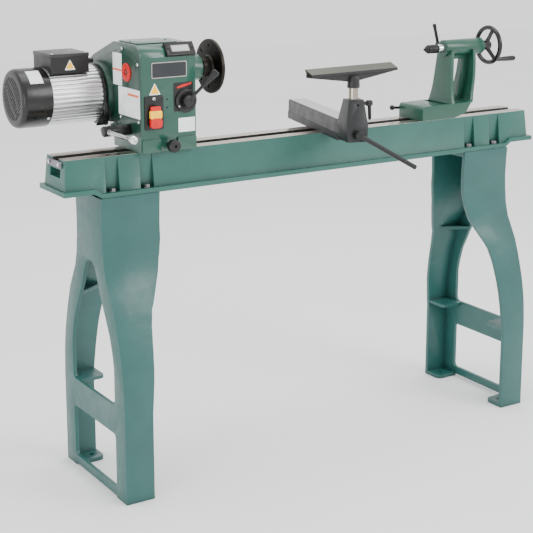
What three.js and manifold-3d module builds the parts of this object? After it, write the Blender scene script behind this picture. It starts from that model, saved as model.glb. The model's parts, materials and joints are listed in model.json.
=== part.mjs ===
// Wood-turning lathe on two cast legs: a bed with two ground ways, a sliding and swivelling
// headstock with its own motor, a banjo with a tool rest, and a tailstock with a screw-driven quill.
// Millimetres. +X runs along the bed from headstock to tailstock, +Z is up, and the operator
// stands at -Y. The finished group is moved so that its origin is the middle of its footprint.

import * as THREE from 'three';
import { mergeVertices } from 'three/addons/utils/BufferGeometryUtils.js';
import Module from 'manifold-3d';

// ---------------------------------------------------------------- driving dimensions

// Clearances
const GAP = 0.3; // between faces that touch or turn in each other
const CLEAR = 3; // between pieces that only pass each other
const PAST = 5; // how far a cutter runs past the face it leaves by

// Bed
const BED_LENGTH = 1544;
const BED_TOP = 903; // ways above the floor
const BED_WIDTH = 113; // across the ways
const BED_DEPTH = 104.5; // ways to the underside, between the legs
const BED_END_DEPTH = 90.5; // ways to the underside, at the two ends
const BED_WALL = 12;
const WAY_THICKNESS = 22;
const GROOVE_WIDTH = 36;
const SIDE_LEAN = 0.1; // sideways per millimetre of depth
const END_LEAN = 0.07;
const FLANGE_WIDTH = 156;
const FLANGE_THICKNESS = 12.5;
const FLANGE_REACH = 14; // past each end of the ways
const STEP_START = 72; // where the flange begins to drop, from each end
const STEP_RUN = 20;
const RIB_SPACING = 386;
const RIB_HEIGHT = 30;
const STOP_HEIGHT = 16;
const STOP_WIDTH = 84;
const STOP_THICKNESS = 5;
const END_SLOT_WIDTH = 62;
const END_SLOT_HEIGHT = 22;
const POCKET_WIDTH = 37;
const POCKET_FLARE = 1.5; // each side, at the foot of a pocket
const POCKET_DEPTH = 7; // behind the line of the ways, at its foot

// Legs
const LEG_INSET = 86; // outer face, from the end of the ways
const LEG_TOP_LENGTH = 168; // along the bed, under the flange
const LEG_FOOT_LENGTH = 82; // along the bed, on the floor
const LEG_WAIST = 76; // half width at the narrowest
const LEG_STANCE = 372; // overall width on the floor
const LEG_WEB = 10;
const LEG_WALL = 12;
const LEG_PLATE = 16;
const ARCH_DROP = 177; // leg top to the crown of the arch
const ARCH_FOOT = 257; // floor to the foot of the arch
const LEG_RIM = 58; // web left beside each opening
const RAIL_TOP = 30;
const RAIL_RAISE = 6;
const CROSSBAR_UNDERSIDE = 178;
const OPENING_RADIUS = 12;
const SHELF_REACH = 75;
const SHELF_THICKNESS = 9;
const FOOT_REACH = 58;
const FOOT_THICKNESS = 12;
const FOOT_HOLE = 6;
const GUSSET_DROP = 281;
const BOLT_PLACES = [127, 226]; // from the end of the ways
const BOLT_RADIUS = 5;
const BOLT_HEAD_RADIUS = 9.5;
const BOLT_HEAD_HEIGHT = 7;
const WASHER_RADIUS = 10.5;
const WASHER_THICKNESS = 2;
const BOLT_GRIP = 11; // thread in the leg

// Headstock
const CENTRE_HEIGHT = 203; // spindle axis above the ways
const HEAD_PLACE = 286; // swivel axis, from the left end of the ways
const HEAD_LENGTH = 162;
const HEAD_FRONT = 75; // front face, ahead of the spindle axis
const HEAD_BACK = 82; // base behind the spindle axis
const HEAD_RISE = 74; // spindle axis to the flat top
const HEAD_TOP_BACK = 74;
const HEAD_ROUND = 32;
const HEAD_WALL = 9;
const HEAD_BASE = 43;
const COVER_THICKNESS = 4;
const GUARD_BACK = 158; // belt guard centre behind the spindle axis
const GUARD_HEIGHT = 145;
const GUARD_RADIUS = 95;
const BOSS_RADIUS = 35;
const BOSS_LENGTH = 47;
const SEAT_WEB = 18; // inner wall that holds the rear bearing
const SEAT_WEB_PLACE = 14;
const LID_THICKNESS = 3;
const BASE_PAD = 3;
const SCREW_HEAD = 3.6;
const PAD_HEIGHT = 35;

// Spindle and drive
const BEARING_RADIUS = 31;
const BEARING_LENGTH = 15;
const SPINDLE_RADIUS = 15;
const SPINDLE_BORE = 5;
const SPINDLE_STEP = 3; // less in radius, behind the pulley's shoulder
const SPINDLE_COLLAR = 22;
const FACEPLATE_RADIUS = 74;
const FACEPLATE_THICKNESS = 10;
const FACEPLATE_HUB_RADIUS = 27;
const FACEPLATE_HUB_LENGTH = 29;
const END_RING_RADIUS = 24;
const SPINDLE_PULLEY_RADIUS = 52; // under the belt
const MOTOR_PULLEY_RADIUS = 34;
const PULLEY_RIM = 10;
const PULLEY_PLACE = -38;
const BELT_WIDTH = 18;
const BELT_THICKNESS = 7;

// Motor
const MOTOR_BACK = 160;
const MOTOR_HEIGHT = 133;
const MOTOR_RADIUS = 78;
const MOTOR_SHELL = 9;
const MOTOR_LENGTH = 142;
const MOTOR_START = -108; // its right end, from the swivel axis
const BELL_THICKNESS = 12;
const FAN_COVER_LENGTH = 83;
const FAN_COVER_WALL = 2.5;
const MOTOR_SHAFT_RADIUS = 9;
const ROTOR_RADIUS = 48;
const MOUNT_RING_RADIUS = 86;
const BOX_LENGTH = 107;
const BOX_WIDTH = 113;
const BOX_TOP = 116; // motor axis to the lid's top
const BOX_WALL = 3;
const BOX_LID = 10;

// Banjo and tool rest
const BANJO_PLACE = 821;
const BANJO_ANGLE = 13.5; // degrees that its arm leans towards the headstock
const BANJO_BACK = 206;
const BANJO_FRONT = 190;
const BANJO_WIDTH = 60;
const BANJO_TOP_WIDTH = 55;
const BANJO_HEIGHT = 57;
const BANJO_SLOT = 36;
const BANJO_ROOF = 11;
const BANJO_LIP = 20;
const POST_PLACE = 230;
const POST_RADIUS = 12.7;
const POST_BOX_TOP = 117;
const POST_BOX_LENGTH = 75;
const POST_FOOT = 69; // foot of the post above the ways
const REST_TOP = 205; // top edge above the ways
const REST_LENGTH = 292;
const REST_TURN = 16.2; // degrees against the banjo
const REST_COLLAR_RADIUS = 17.5;
const REST_COLLAR_FOOT = 148;
const REST_SOCKET = 30; // depth of the post's socket in the rest
const CLAMP_SHAFT_RADIUS = 8;
const CLAMP_SHAFT_HEIGHT = 26;
const CLAMP_BAR_RADIUS = 6.5;
const CLAMP_BAR_LENGTH = 195;
const CLAMP_BAR_DIP = 30.5; // degrees below level

// Clamps under the ways
const CLAMP_BOLT_RADIUS = 8;
const CLAMP_EYE_RADIUS = 17;
const CLAMP_PLATE_LENGTH = 70;
const CLAMP_PLATE_WIDTH = 64;
const CLAMP_PLATE_THICKNESS = 12;
const CLAMP_NUT_RADIUS = 14;
const CLAMP_NUT_HEIGHT = 10;

// Headstock swivel, lock and index pin
const SWIVEL_RADIUS = 58;
const SWIVEL_THICKNESS = 24;
const SWIVEL_KEY = 12; // depth of the key in the groove
const SWIVEL_KEY_LENGTH = 100;
const INDEX_ANGLES = [0, 60, 90, 120, 180];
const INDEX_RADIUS = 4.5;
const INDEX_HEIGHT = 17.4;
const INDEX_KNOB_RADIUS = 16.5;
const INDEX_KNOB_LENGTH = 24;
const INDEX_TRAVEL = 10;
const LOCK_FRONT = 8;
const LOCK_HEIGHT = 55;
const LOCK_HUB_RADIUS = 14;
const LOCK_HUB_REACH = 75; // out of the left face
const LOCK_HUB_INSIDE = 14; // behind the left cover
const LOCK_LEVER_INSET = 11; // lever's axis from the hub's outer end
const LOCK_SHAFT_RADIUS = 9;
const LOCK_LEVER_LENGTH = 152;
const LOCK_LEVER_RADIUS = 6; // where it passes through the shaft
const LOCK_BALL_RADIUS = 12;

// Controls on the headstock's front
const SWITCH_PLACE = -43;
const SWITCH_HEIGHT = 104;
const SWITCH_PLATE_WIDTH = 54;
const SWITCH_PLATE_HEIGHT = 87;
const SWITCH_PLATE_THICKNESS = 2.4;
const SWITCH_BODY_WIDTH = 26;
const SWITCH_BODY_HEIGHT = 46;
const SWITCH_BODY_DEPTH = 30;
const PADDLE_WIDTH = 33;
const PADDLE_HEIGHT = 56;
const PADDLE_THICKNESS = 7.5;
const PADDLE_GAP = 5; // to the plate behind it
const SPEED_PLACE = 51;
const SPEED_DROP = 74; // below the spindle axis
const SPEED_BEZEL_RADIUS = 31;
const SPEED_BEZEL_THICKNESS = 7;
const SPEED_HUB_RADIUS = 16;
const SPEED_HUB_LENGTH = 14;
const SPEED_ARM_LENGTH = 62;
const SPEED_GRIP_LENGTH = 46;
const READOUT_PLACE = 38;
const READOUT_LENGTH = 84;
const READOUT_HEIGHT = 38;
const READOUT_THICKNESS = 8.5;
const READOUT_TILT = 35; // degrees that its face leans back from upright

// Tailstock
const TAIL_PLACE = 402; // left face of its base, from the right end of the ways
const TAIL_BASE_LENGTH = 185;
const TAIL_BASE_HEIGHT = 42;
const BARREL_START = 116;
const BARREL_LENGTH = 144;
const BARREL_RADIUS = 24.5;
const QUILL_RADIUS = 13;
const QUILL_LENGTH = 131;
const QUILL_OUT = 22; // showing ahead of the barrel
const QUILL_BORE = 7.5;
const CENTRE_BODY_LENGTH = 38;
const CENTRE_POINT_LENGTH = 16;
const CENTRE_SHANK_LENGTH = 45;
const COLUMN_WALL = 10;
const SCREW_RADIUS = 6.5;
const WHEEL_RADIUS = 60;
const WHEEL_TUBE = 7;
const WHEEL_HUB_LENGTH = 35;
const WHEEL_HUB_RADIUS = 15;
const SPOKES = 3;
const SPOKE_RADIUS = 6;
const HANDLE_ANGLE = 232; // degrees from +Y towards +Z, seen from the right
const GRIP_RADIUS = 8;
const GRIP_LENGTH = 70;

// ---------------------------------------------------------------- places worked out

const SPINDLE_Z = CENTRE_HEIGHT;
const HEAD_TOP = SPINDLE_Z + HEAD_RISE;
const HEAD_LEFT = -HEAD_LENGTH / 2;
const HEAD_RIGHT = HEAD_LENGTH / 2;
const COVER_RIGHT = HEAD_LEFT + COVER_THICKNESS;
const BOSS_END = HEAD_RIGHT + BOSS_LENGTH;
const LOCK_HUB_END = COVER_RIGHT + LOCK_HUB_INSIDE;
const LOCK_PIVOT = [-LOCK_FRONT, LOCK_HEIGHT];
const LEG_TOP = BED_TOP - BED_DEPTH - GAP;
const BOLT_LINE = BED_WIDTH / 2 - POCKET_DEPTH + WASHER_RADIUS + 1;
const CLAMP_TOP = -WAY_THICKNESS - GAP;
const TAIL_X = BED_LENGTH - TAIL_PLACE;

// ---------------------------------------------------------------- solids

const wasm = await Module();
wasm.setup();

// Turns a closed three.js geometry into a solid with its faces pointing out.
function solid(geometry) {
  const bare = geometry.clone();
  bare.deleteAttribute('normal');
  bare.deleteAttribute('uv');
  const merged = mergeVertices(bare, 1e-4);
  const place = merged.attributes.position.array;
  const corner = (i) => new THREE.Vector3().fromArray(place, 3 * i);
  const triangles = [];
  let volume = 0;
  for (let i = 0; i < merged.index.count; i += 3) {
    const [a, b, c] = [0, 1, 2].map((j) => merged.index.getX(i + j));
    if (a === b || b === c || c === a) continue;
    triangles.push([a, b, c]);
    volume += corner(a).dot(corner(b).cross(corner(c)));
  }
  const outward = volume > 0 ? triangles : triangles.map(([a, b, c]) => [a, c, b]);
  const mesh = new wasm.Mesh({
    numProp: 3,
    vertProperties: Float32Array.from(place),
    triVerts: Uint32Array.from(outward.flat()),
  });
  return new wasm.Manifold(mesh);
}

function surface(body) {
  const mesh = body.getMesh();
  const geometry = new THREE.BufferGeometry();
  geometry.setAttribute('position', new THREE.BufferAttribute(mesh.vertProperties, 3));
  geometry.setIndex(new THREE.BufferAttribute(mesh.triVerts, 1));
  geometry.computeVertexNormals();
  return geometry;
}

const join = (...bodies) => bodies.reduce((whole, body) => whole.add(body));
const cut = (body, ...cutters) => cutters.reduce((left, cutter) => left.subtract(cutter), body);

// A block between two corners.
function block([x0, x1], [y0, y1], [z0, z1]) {
  const geometry = new THREE.BoxGeometry(x1 - x0, y1 - y0, z1 - z0);
  return solid(geometry.translate((x0 + x1) / 2, (y0 + y1) / 2, (z0 + z1) / 2));
}

// Stands a geometry made about +Y on the axis asked for.
function upright(geometry, axis) {
  if (axis === 'x') geometry.rotateZ(-Math.PI / 2);
  if (axis === 'z') geometry.rotateX(Math.PI / 2);
  return geometry;
}

// Moves by a place across the axis, given as the other two coordinates in X, Y, Z order.
function across(geometry, axis, [a, b]) {
  if (axis === 'x') return geometry.translate(0, a, b);
  if (axis === 'y') return geometry.translate(a, 0, b);
  return geometry.translate(a, b, 0);
}

// A round bar along an axis, or a cone when the two radii differ.
function bar(axis, radius, [from, to], place, sides = 12, endRadius = radius) {
  const geometry = new THREE.CylinderGeometry(endRadius, radius, to - from, sides);
  geometry.translate(0, (from + to) / 2, 0);
  return solid(across(upright(geometry, axis), axis, place));
}

// A cutter for a round hole: its flats touch the circle asked for, so a bar of that radius passes.
function bore(axis, radius, span, place, sides = 12) {
  return bar(axis, radius / Math.cos(Math.PI / sides), span, place, sides);
}

// A bar between two points in any direction.
function rod(from, to, radius, sides = 10, endRadius = radius) {
  const start = new THREE.Vector3(...from);
  const way = new THREE.Vector3(...to).sub(start);
  const geometry = new THREE.CylinderGeometry(endRadius, radius, way.length(), sides);
  geometry.translate(0, way.length() / 2, 0);
  const turn = new THREE.Quaternion().setFromUnitVectors(new THREE.Vector3(0, 1, 0), way.normalize());
  return solid(geometry.applyQuaternion(turn).translate(...from));
}

// A turned piece: the profile is a list of [radius, distance along the axis].
function turned(axis, profile, place, sides = 16) {
  const points = profile.map(([radius, along]) => new THREE.Vector2(radius, along));
  const geometry = new THREE.LatheGeometry(points, sides);
  return solid(across(upright(geometry, axis), axis, place));
}

// A flat outline carried along an axis. Its coordinates are the other two axes in X, Y, Z order.
function prism(axis, outline, [from, to]) {
  const shape = outline instanceof THREE.Shape ? outline : polygon(outline);
  const geometry = new THREE.ExtrudeGeometry(shape, {
    depth: to - from,
    bevelEnabled: false,
    curveSegments: 2,
  });
  if (axis === 'x') {
    geometry.rotateY(Math.PI / 2);
    geometry.rotateX(Math.PI / 2);
    geometry.translate(from, 0, 0);
  } else if (axis === 'y') {
    geometry.rotateX(Math.PI / 2);
    geometry.translate(0, to, 0);
  } else {
    geometry.translate(0, 0, from);
  }
  return solid(geometry);
}

function polygon(points) {
  return new THREE.Shape(points.map(([a, b]) => new THREE.Vector2(a, b)));
}

function roundedBox([a0, a1], [b0, b1], radius) {
  const shape = new THREE.Shape();
  shape.moveTo(a0 + radius, b0);
  shape.lineTo(a1 - radius, b0);
  shape.absarc(a1 - radius, b0 + radius, radius, -Math.PI / 2, 0, false);
  shape.lineTo(a1, b1 - radius);
  shape.absarc(a1 - radius, b1 - radius, radius, 0, Math.PI / 2, false);
  shape.lineTo(a0 + radius, b1);
  shape.absarc(a0 + radius, b1 - radius, radius, Math.PI / 2, Math.PI, false);
  shape.lineTo(a0, b0 + radius);
  shape.absarc(a0 + radius, b0 + radius, radius, Math.PI, 1.5 * Math.PI, false);
  return shape;
}

// Points along an arc, angles in degrees.
function arc([a, b], radius, from, to, steps) {
  const points = [];
  for (let i = 0; i <= steps; i += 1) {
    const angle = THREE.MathUtils.degToRad(from + ((to - from) * i) / steps);
    points.push([a + radius * Math.cos(angle), b + radius * Math.sin(angle)]);
  }
  return points;
}

// Points along a smooth curve through a few stations.
function smooth(stations, steps) {
  const curve = new THREE.SplineCurve(stations.map(([a, b]) => new THREE.Vector2(a, b)));
  return curve.getPoints(steps).map((point) => [point.x, point.y]);
}

// A solid with flat four-cornered sections: each section is { z, x: [from, to], y: [from, to] }.
function tapered(sections) {
  const places = [];
  const faces = [];
  sections.forEach(({ z, x, y }) => {
    places.push(x[0], y[0], z, x[1], y[0], z, x[1], y[1], z, x[0], y[1], z);
  });
  const last = 4 * (sections.length - 1);
  faces.push(0, 2, 1, 0, 3, 2, last, last + 1, last + 2, last, last + 2, last + 3);
  for (let ring = 0; ring < last; ring += 4) {
    for (let i = 0; i < 4; i += 1) {
      const j = (i + 1) % 4;
      faces.push(ring + i, ring + j, ring + 4 + j, ring + i, ring + 4 + j, ring + 4 + i);
    }
  }
  const geometry = new THREE.BufferGeometry();
  geometry.setAttribute('position', new THREE.BufferAttribute(Float32Array.from(places), 3));
  geometry.setIndex(faces);
  return solid(geometry);
}

// The same solid on the other side of the bed's middle.
function mirrored(body) {
  const geometry = surface(body);
  geometry.scale(-1, 1, 1);
  return solid(geometry.translate(BED_LENGTH, 0, 0));
}

// ---------------------------------------------------------------- materials

function finish(color, roughness, metalness) {
  return { color, roughness, metalness };
}

const GREEN_PAINT = finish(0x4f8377, 0.45, 0.1);
const DARK_IRON = finish(0x3a3c3a, 0.5, 0.6);
const BLACK_IRON = finish(0x1f2021, 0.45, 0.3);
const STEEL = finish(0xb9b6ae, 0.3, 0.9);
const CHROME = finish(0xd8dadc, 0.12, 1);
const ALUMINIUM = finish(0xb8babb, 0.35, 0.9);
const BLACK_PLASTIC = finish(0x18191a, 0.5, 0);
const RUBBER = finish(0x141414, 0.85, 0);
const RED_PLASTIC = finish(0xc8352c, 0.45, 0);
const COPPER = finish(0x9c5a3a, 0.4, 0.8);

function part(group, name, look, body) {
  const mesh = new THREE.Mesh(surface(body), new THREE.MeshStandardMaterial(look));
  mesh.name = name;
  group.add(mesh);
}

// ---------------------------------------------------------------- bed

// The cast bed: a hollow, open-bottomed box with leaning sides, a groove between two ways, and a
// flange that drops where the legs begin.
function bedCasting() {
  const top = BED_TOP;
  const middle = top - BED_DEPTH;
  const end = top - BED_END_DEPTH;
  const half = BED_WIDTH / 2;
  const foot = half + SIDE_LEAN * BED_DEPTH;
  const lean = END_LEAN * BED_END_DEPTH;
  const drop = STEP_START + STEP_RUN;
  const right = (x) => BED_LENGTH - x;
  const underside = [
    [STEP_START, end],
    [drop, middle],
    [right(drop), middle],
    [right(STEP_START), end],
  ];
  const sides = prism('x', [[-foot, middle], [foot, middle], [half, top], [-half, top]],
    [-lean - PAST, BED_LENGTH + lean + PAST]);
  const ends = prism('y', [[-lean, end], ...underside, [right(-lean), end], [BED_LENGTH, top], [0, top]],
    [-FLANGE_WIDTH, FLANGE_WIDTH]);
  const lifted = underside.map(([x, z]) => [x, z + FLANGE_THICKNESS]).reverse();
  const flange = prism('y', [
    [-FLANGE_REACH, end],
    ...underside,
    [right(-FLANGE_REACH), end],
    [right(-FLANGE_REACH), end + FLANGE_THICKNESS],
    ...lifted,
    [-FLANGE_REACH, end + FLANGE_THICKNESS],
  ], [-FLANGE_WIDTH / 2, FLANGE_WIDTH / 2]);
  const outer = join(sides.intersect(ends), flange);

  const inside = half - BED_WALL;
  const insideFoot = foot - BED_WALL;
  const roof = top - WAY_THICKNESS;
  const hollow = prism('x', [[-insideFoot, middle - PAST], [insideFoot, middle - PAST],
    [inside, roof], [-inside, roof]], [BED_WALL, BED_LENGTH - BED_WALL]);
  let bed = cut(outer, hollow);
  for (let x = RIB_SPACING; x < BED_LENGTH - RIB_SPACING / 2; x += RIB_SPACING) {
    bed = join(bed, block([x - BED_WALL / 2, x + BED_WALL / 2], [-insideFoot, insideFoot],
      [middle, middle + RIB_HEIGHT]));
  }

  // Cast pockets in the sides give a spanner room at the leg bolts.
  const pocketFoot = middle + FLANGE_THICKNESS;
  const places = [...BOLT_PLACES, ...BOLT_PLACES.map(right)];
  for (const x of places) {
    const width = POCKET_WIDTH / 2;
    for (const side of [-1, 1]) {
      const span = (from, to) => (side > 0 ? [from, to] : [-to, -from]);
      const back = half - POCKET_DEPTH;
      bed = join(bed, tapered([
        { z: middle, x: [x - width - BED_WALL, x + width + BED_WALL], y: span(back - BED_WALL, half) },
        { z: roof + 1, x: [x - width - BED_WALL, x + width + BED_WALL], y: span(inside - 1, half - 2) },
      ]));
      const flared = width + POCKET_FLARE;
      bed = cut(bed, tapered([
        { z: pocketFoot, x: [x - flared, x + flared], y: span(back, foot + PAST) },
        { z: top - 2, x: [x - width, x + width], y: span(half - 0.4, foot + PAST) },
      ]));
      bed = cut(bed, bore('z', BOLT_RADIUS + GAP, [middle - PAST, pocketFoot + PAST],
        [x, side * BOLT_LINE], 8));
    }
  }

  const groove = block([-lean - PAST, BED_LENGTH + lean + PAST], [-GROOVE_WIDTH / 2, GROOVE_WIDTH / 2],
    [roof - 1, top + PAST]);
  bed = cut(bed, groove);
  for (const [from, to] of [[-lean - PAST, 0], [BED_LENGTH, BED_LENGTH + lean + PAST]]) {
    bed = cut(bed, block([from, to], [-STOP_WIDTH / 2 - GAP, STOP_WIDTH / 2 + GAP],
      [roof - GAP, top + PAST]));
  }
  const slotTop = roof - 5;
  const slot = [slotTop - END_SLOT_HEIGHT, slotTop];
  const slotHalf = Math.min(END_SLOT_WIDTH / 2, inside - 2);
  bed = cut(bed, block([-lean - PAST, BED_WALL + 1], [-slotHalf, slotHalf], slot));
  return cut(bed, block([BED_LENGTH - BED_WALL - 1, BED_LENGTH + lean + PAST], [-slotHalf, slotHalf], slot));
}

// A plate screwed over the end of the groove, so that nothing slides off the bed.
function stopPlate(face, outward) {
  const low = BED_TOP - WAY_THICKNESS;
  const near = face + outward * GAP;
  const far = near + outward * STOP_THICKNESS;
  const body = prism('x', roundedBox([-STOP_WIDTH / 2, STOP_WIDTH / 2], [low, low + STOP_HEIGHT], 3),
    [Math.min(near, far), Math.max(near, far)]);
  const tips = [far - outward, far + outward * 2.5].sort((a, b) => a - b);
  const screws = [-1, 1].map((side) => bar('x', 4, tips,
    [side * (STOP_WIDTH / 2 - 8), low + STOP_HEIGHT / 2], 8));
  return join(body, ...screws);
}

// ---------------------------------------------------------------- legs

// Half width of a leg against height: straight below the bed, then flaring to the floor.
function legFlare(inset) {
  const foot = LEG_STANCE / 2;
  const spread = foot - LEG_WAIST;
  const stations = [
    [LEG_WAIST + 4, LEG_TOP],
    [LEG_WAIST, LEG_TOP - 100],
    [LEG_WAIST + 0.13 * spread, LEG_TOP - 200],
    [LEG_WAIST + 0.5 * spread, LEG_TOP - 277],
    [LEG_WAIST + 0.8 * spread, LEG_TOP - 377],
    [LEG_WAIST + 0.95 * spread, LEG_TOP - 459],
    [foot, LEG_TOP - 545],
  ];
  return smooth(stations.map(([half, z]) => [half - inset, z]), 14);
}

function legOutline(inset, low, high) {
  const side = [...legFlare(inset), [LEG_STANCE / 2 - inset, low]];
  side[0][1] = high;
  return [...side.map(([half, z]) => [-half, z]), ...side.reverse()];
}

// How far the front and back walls reach inwards from the outer face, against height.
function legDepth() {
  const run = LEG_TOP_LENGTH - LEG_FOOT_LENGTH;
  const edge = smooth([
    [LEG_TOP_LENGTH, LEG_TOP - 126],
    [LEG_FOOT_LENGTH + 0.8 * run, LEG_TOP - 211],
    [LEG_FOOT_LENGTH + 0.32 * run, LEG_TOP - 295],
    [LEG_FOOT_LENGTH + 0.17 * run, LEG_TOP - 377],
    [LEG_FOOT_LENGTH + 0.1 * run, LEG_TOP - 459],
    [LEG_FOOT_LENGTH, LEG_TOP - 560],
  ], 10);
  return [[0, LEG_TOP], [LEG_TOP_LENGTH, LEG_TOP], ...edge, [LEG_FOOT_LENGTH, 0], [0, 0]];
}

function leftLeg() {
  const outer = LEG_INSET;
  const whole = prism('x', legOutline(0, 0, LEG_TOP), [outer, outer + LEG_TOP_LENGTH]);
  const hollow = prism('x', legOutline(LEG_WALL, -PAST, LEG_TOP + PAST),
    [outer + LEG_WEB, outer + LEG_TOP_LENGTH + PAST]);
  const reach = prism('y', legDepth().map(([depth, z]) => [outer + depth, z]),
    [-LEG_STANCE, LEG_STANCE]);
  let leg = cut(whole, hollow).intersect(reach);

  // Arched and square openings in the outer web.
  const crown = LEG_TOP - ARCH_DROP;
  const opening = LEG_STANCE / 2 - LEG_RIM;
  const archSide = smooth([
    [0, crown],
    [0.22 * opening, crown - 13],
    [0.41 * opening, crown - 74],
    [0.85 * opening, crown - 184],
    [opening, crown - 262],
  ], 8);
  const archFoot = arc([opening - OPENING_RADIUS, ARCH_FOOT + OPENING_RADIUS], OPENING_RADIUS, 0, -90, 2);
  const archRight = [...archSide, ...archFoot];
  const archLeft = archRight.slice(1).reverse().map(([y, z]) => [-y, z]);
  const web = [outer - PAST, outer + LEG_WEB + PAST];
  const square = roundedBox([-opening, opening], [RAIL_TOP, CROSSBAR_UNDERSIDE], OPENING_RADIUS);
  leg = cut(leg, prism('x', [...archRight, ...archLeft], web), prism('x', square, web));
  leg = cut(leg, block(web, [LEG_RIM - LEG_STANCE / 2, LEG_STANCE / 2 - LEG_RIM], [-PAST, RAIL_RAISE]));

  // Mounting plate under the bed.
  const inner = outer + LEG_WEB;
  const plateHalf = LEG_WAIST + 4 - LEG_WALL / 2;
  leg = join(leg, block([inner - 1, outer + LEG_TOP_LENGTH], [-plateHalf, plateHalf],
    [LEG_TOP - LEG_PLATE, LEG_TOP]));

  // Stiffening gussets, shelf brackets and foot pads stand off the front and back walls.
  const wall = LEG_STANCE / 2 - LEG_WALL;
  for (const side of [-1, 1]) {
    const ledge = (reachIn, length, corner) => {
      const tip = wall - reachIn;
      const turnIn = arc([outer + length - corner, tip + corner], corner, 0, -90, 2);
      return [[inner - 1, wall + 1], [outer + length, wall + 1], ...turnIn, [inner - 1, tip]]
        .map(([x, y]) => [x, side * y]);
    };
    leg = join(leg,
      prism('z', ledge(SHELF_REACH, LEG_FOOT_LENGTH, 14), [ARCH_FOOT - SHELF_THICKNESS, ARCH_FOOT]),
      prism('z', ledge(FOOT_REACH, LEG_FOOT_LENGTH, 14), [0, FOOT_THICKNESS]));
    leg = cut(leg, bar('z', FOOT_HOLE, [-PAST, FOOT_THICKNESS + PAST],
      [outer + 0.65 * LEG_FOOT_LENGTH, side * (wall - FOOT_REACH / 2)], 8));
    const gussetWall = LEG_WAIST + 0.5 * (LEG_STANCE / 2 - LEG_WAIST) - LEG_WALL;
    leg = join(leg, prism('z', [
      [inner - 1, side * (gussetWall + 3)],
      [outer + 0.55 * LEG_TOP_LENGTH, side * (gussetWall + 3)],
      [inner - 1, side * (gussetWall - 48)],
    ], [LEG_TOP - GUSSET_DROP - 10, LEG_TOP - GUSSET_DROP]));
    for (const x of BOLT_PLACES) {
      leg = cut(leg, bore('z', BOLT_RADIUS + GAP, [LEG_TOP - BOLT_GRIP - 1, LEG_TOP + PAST],
        [x, side * BOLT_LINE], 8));
    }
  }
  return leg;
}

function legBolt(x, y) {
  const seat = BED_TOP - BED_DEPTH + FLANGE_THICKNESS + GAP;
  const headFoot = seat + WASHER_THICKNESS;
  return join(
    bar('z', BOLT_RADIUS, [LEG_TOP - BOLT_GRIP, seat + 1], [x, y], 8),
    bar('z', WASHER_RADIUS, [seat, headFoot], [x, y], 8),
    bar('z', BOLT_HEAD_RADIUS, [headFoot - 0.5, headFoot + BOLT_HEAD_HEIGHT], [x, y], 6),
  );
}

// ---------------------------------------------------------------- headstock

// The side view of the headstock: an upright box with a rounded front edge, running back into the
// round belt guard.
function headOutline(inset, floor) {
  const front = -HEAD_FRONT + inset;
  const top = HEAD_TOP - inset;
  const radius = GUARD_RADIUS - inset;
  const away = [HEAD_TOP_BACK - GUARD_BACK, top - GUARD_HEIGHT];
  const distance = Math.hypot(...away);
  const bearing = THREE.MathUtils.radToDeg(Math.atan2(away[1], away[0]));
  const tangent = bearing - THREE.MathUtils.radToDeg(Math.acos(radius / distance));
  const back = HEAD_BACK - inset;
  const bend = Math.max(floor, GUARD_HEIGHT - radius);
  return [
    [front, floor],
    [back, floor],
    [back, bend + 0.01],
    ...arc([GUARD_BACK, GUARD_HEIGHT], radius, -90, tangent, 14),
    [HEAD_TOP_BACK, top],
    ...arc([-HEAD_FRONT + HEAD_ROUND, HEAD_TOP - HEAD_ROUND], HEAD_ROUND - inset, 90, 180, 6),
  ];
}

// The readout leans on the rounded edge. Distances are from the middle of that round.
function readoutOutline(near, far, half) {
  const lean = THREE.MathUtils.degToRad(180 - READOUT_TILT);
  const out = [Math.cos(lean), Math.sin(lean)];
  const up = [out[1], -out[0]];
  const middle = [-HEAD_FRONT + HEAD_ROUND, HEAD_TOP - HEAD_ROUND];
  const corner = (distance, along) => [
    middle[0] + out[0] * distance + up[0] * along,
    middle[1] + out[1] * distance + up[1] * along,
  ];
  return [corner(near, -half), corner(near, half), corner(far, half), corner(far, -half)];
}

const READOUT_SEAT = HEAD_ROUND - 4.5;
const SPEED_HEIGHT = SPINDLE_Z - SPEED_DROP;
const FRONT_SEAT = SEAT_WEB_PLACE + SEAT_WEB;

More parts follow.
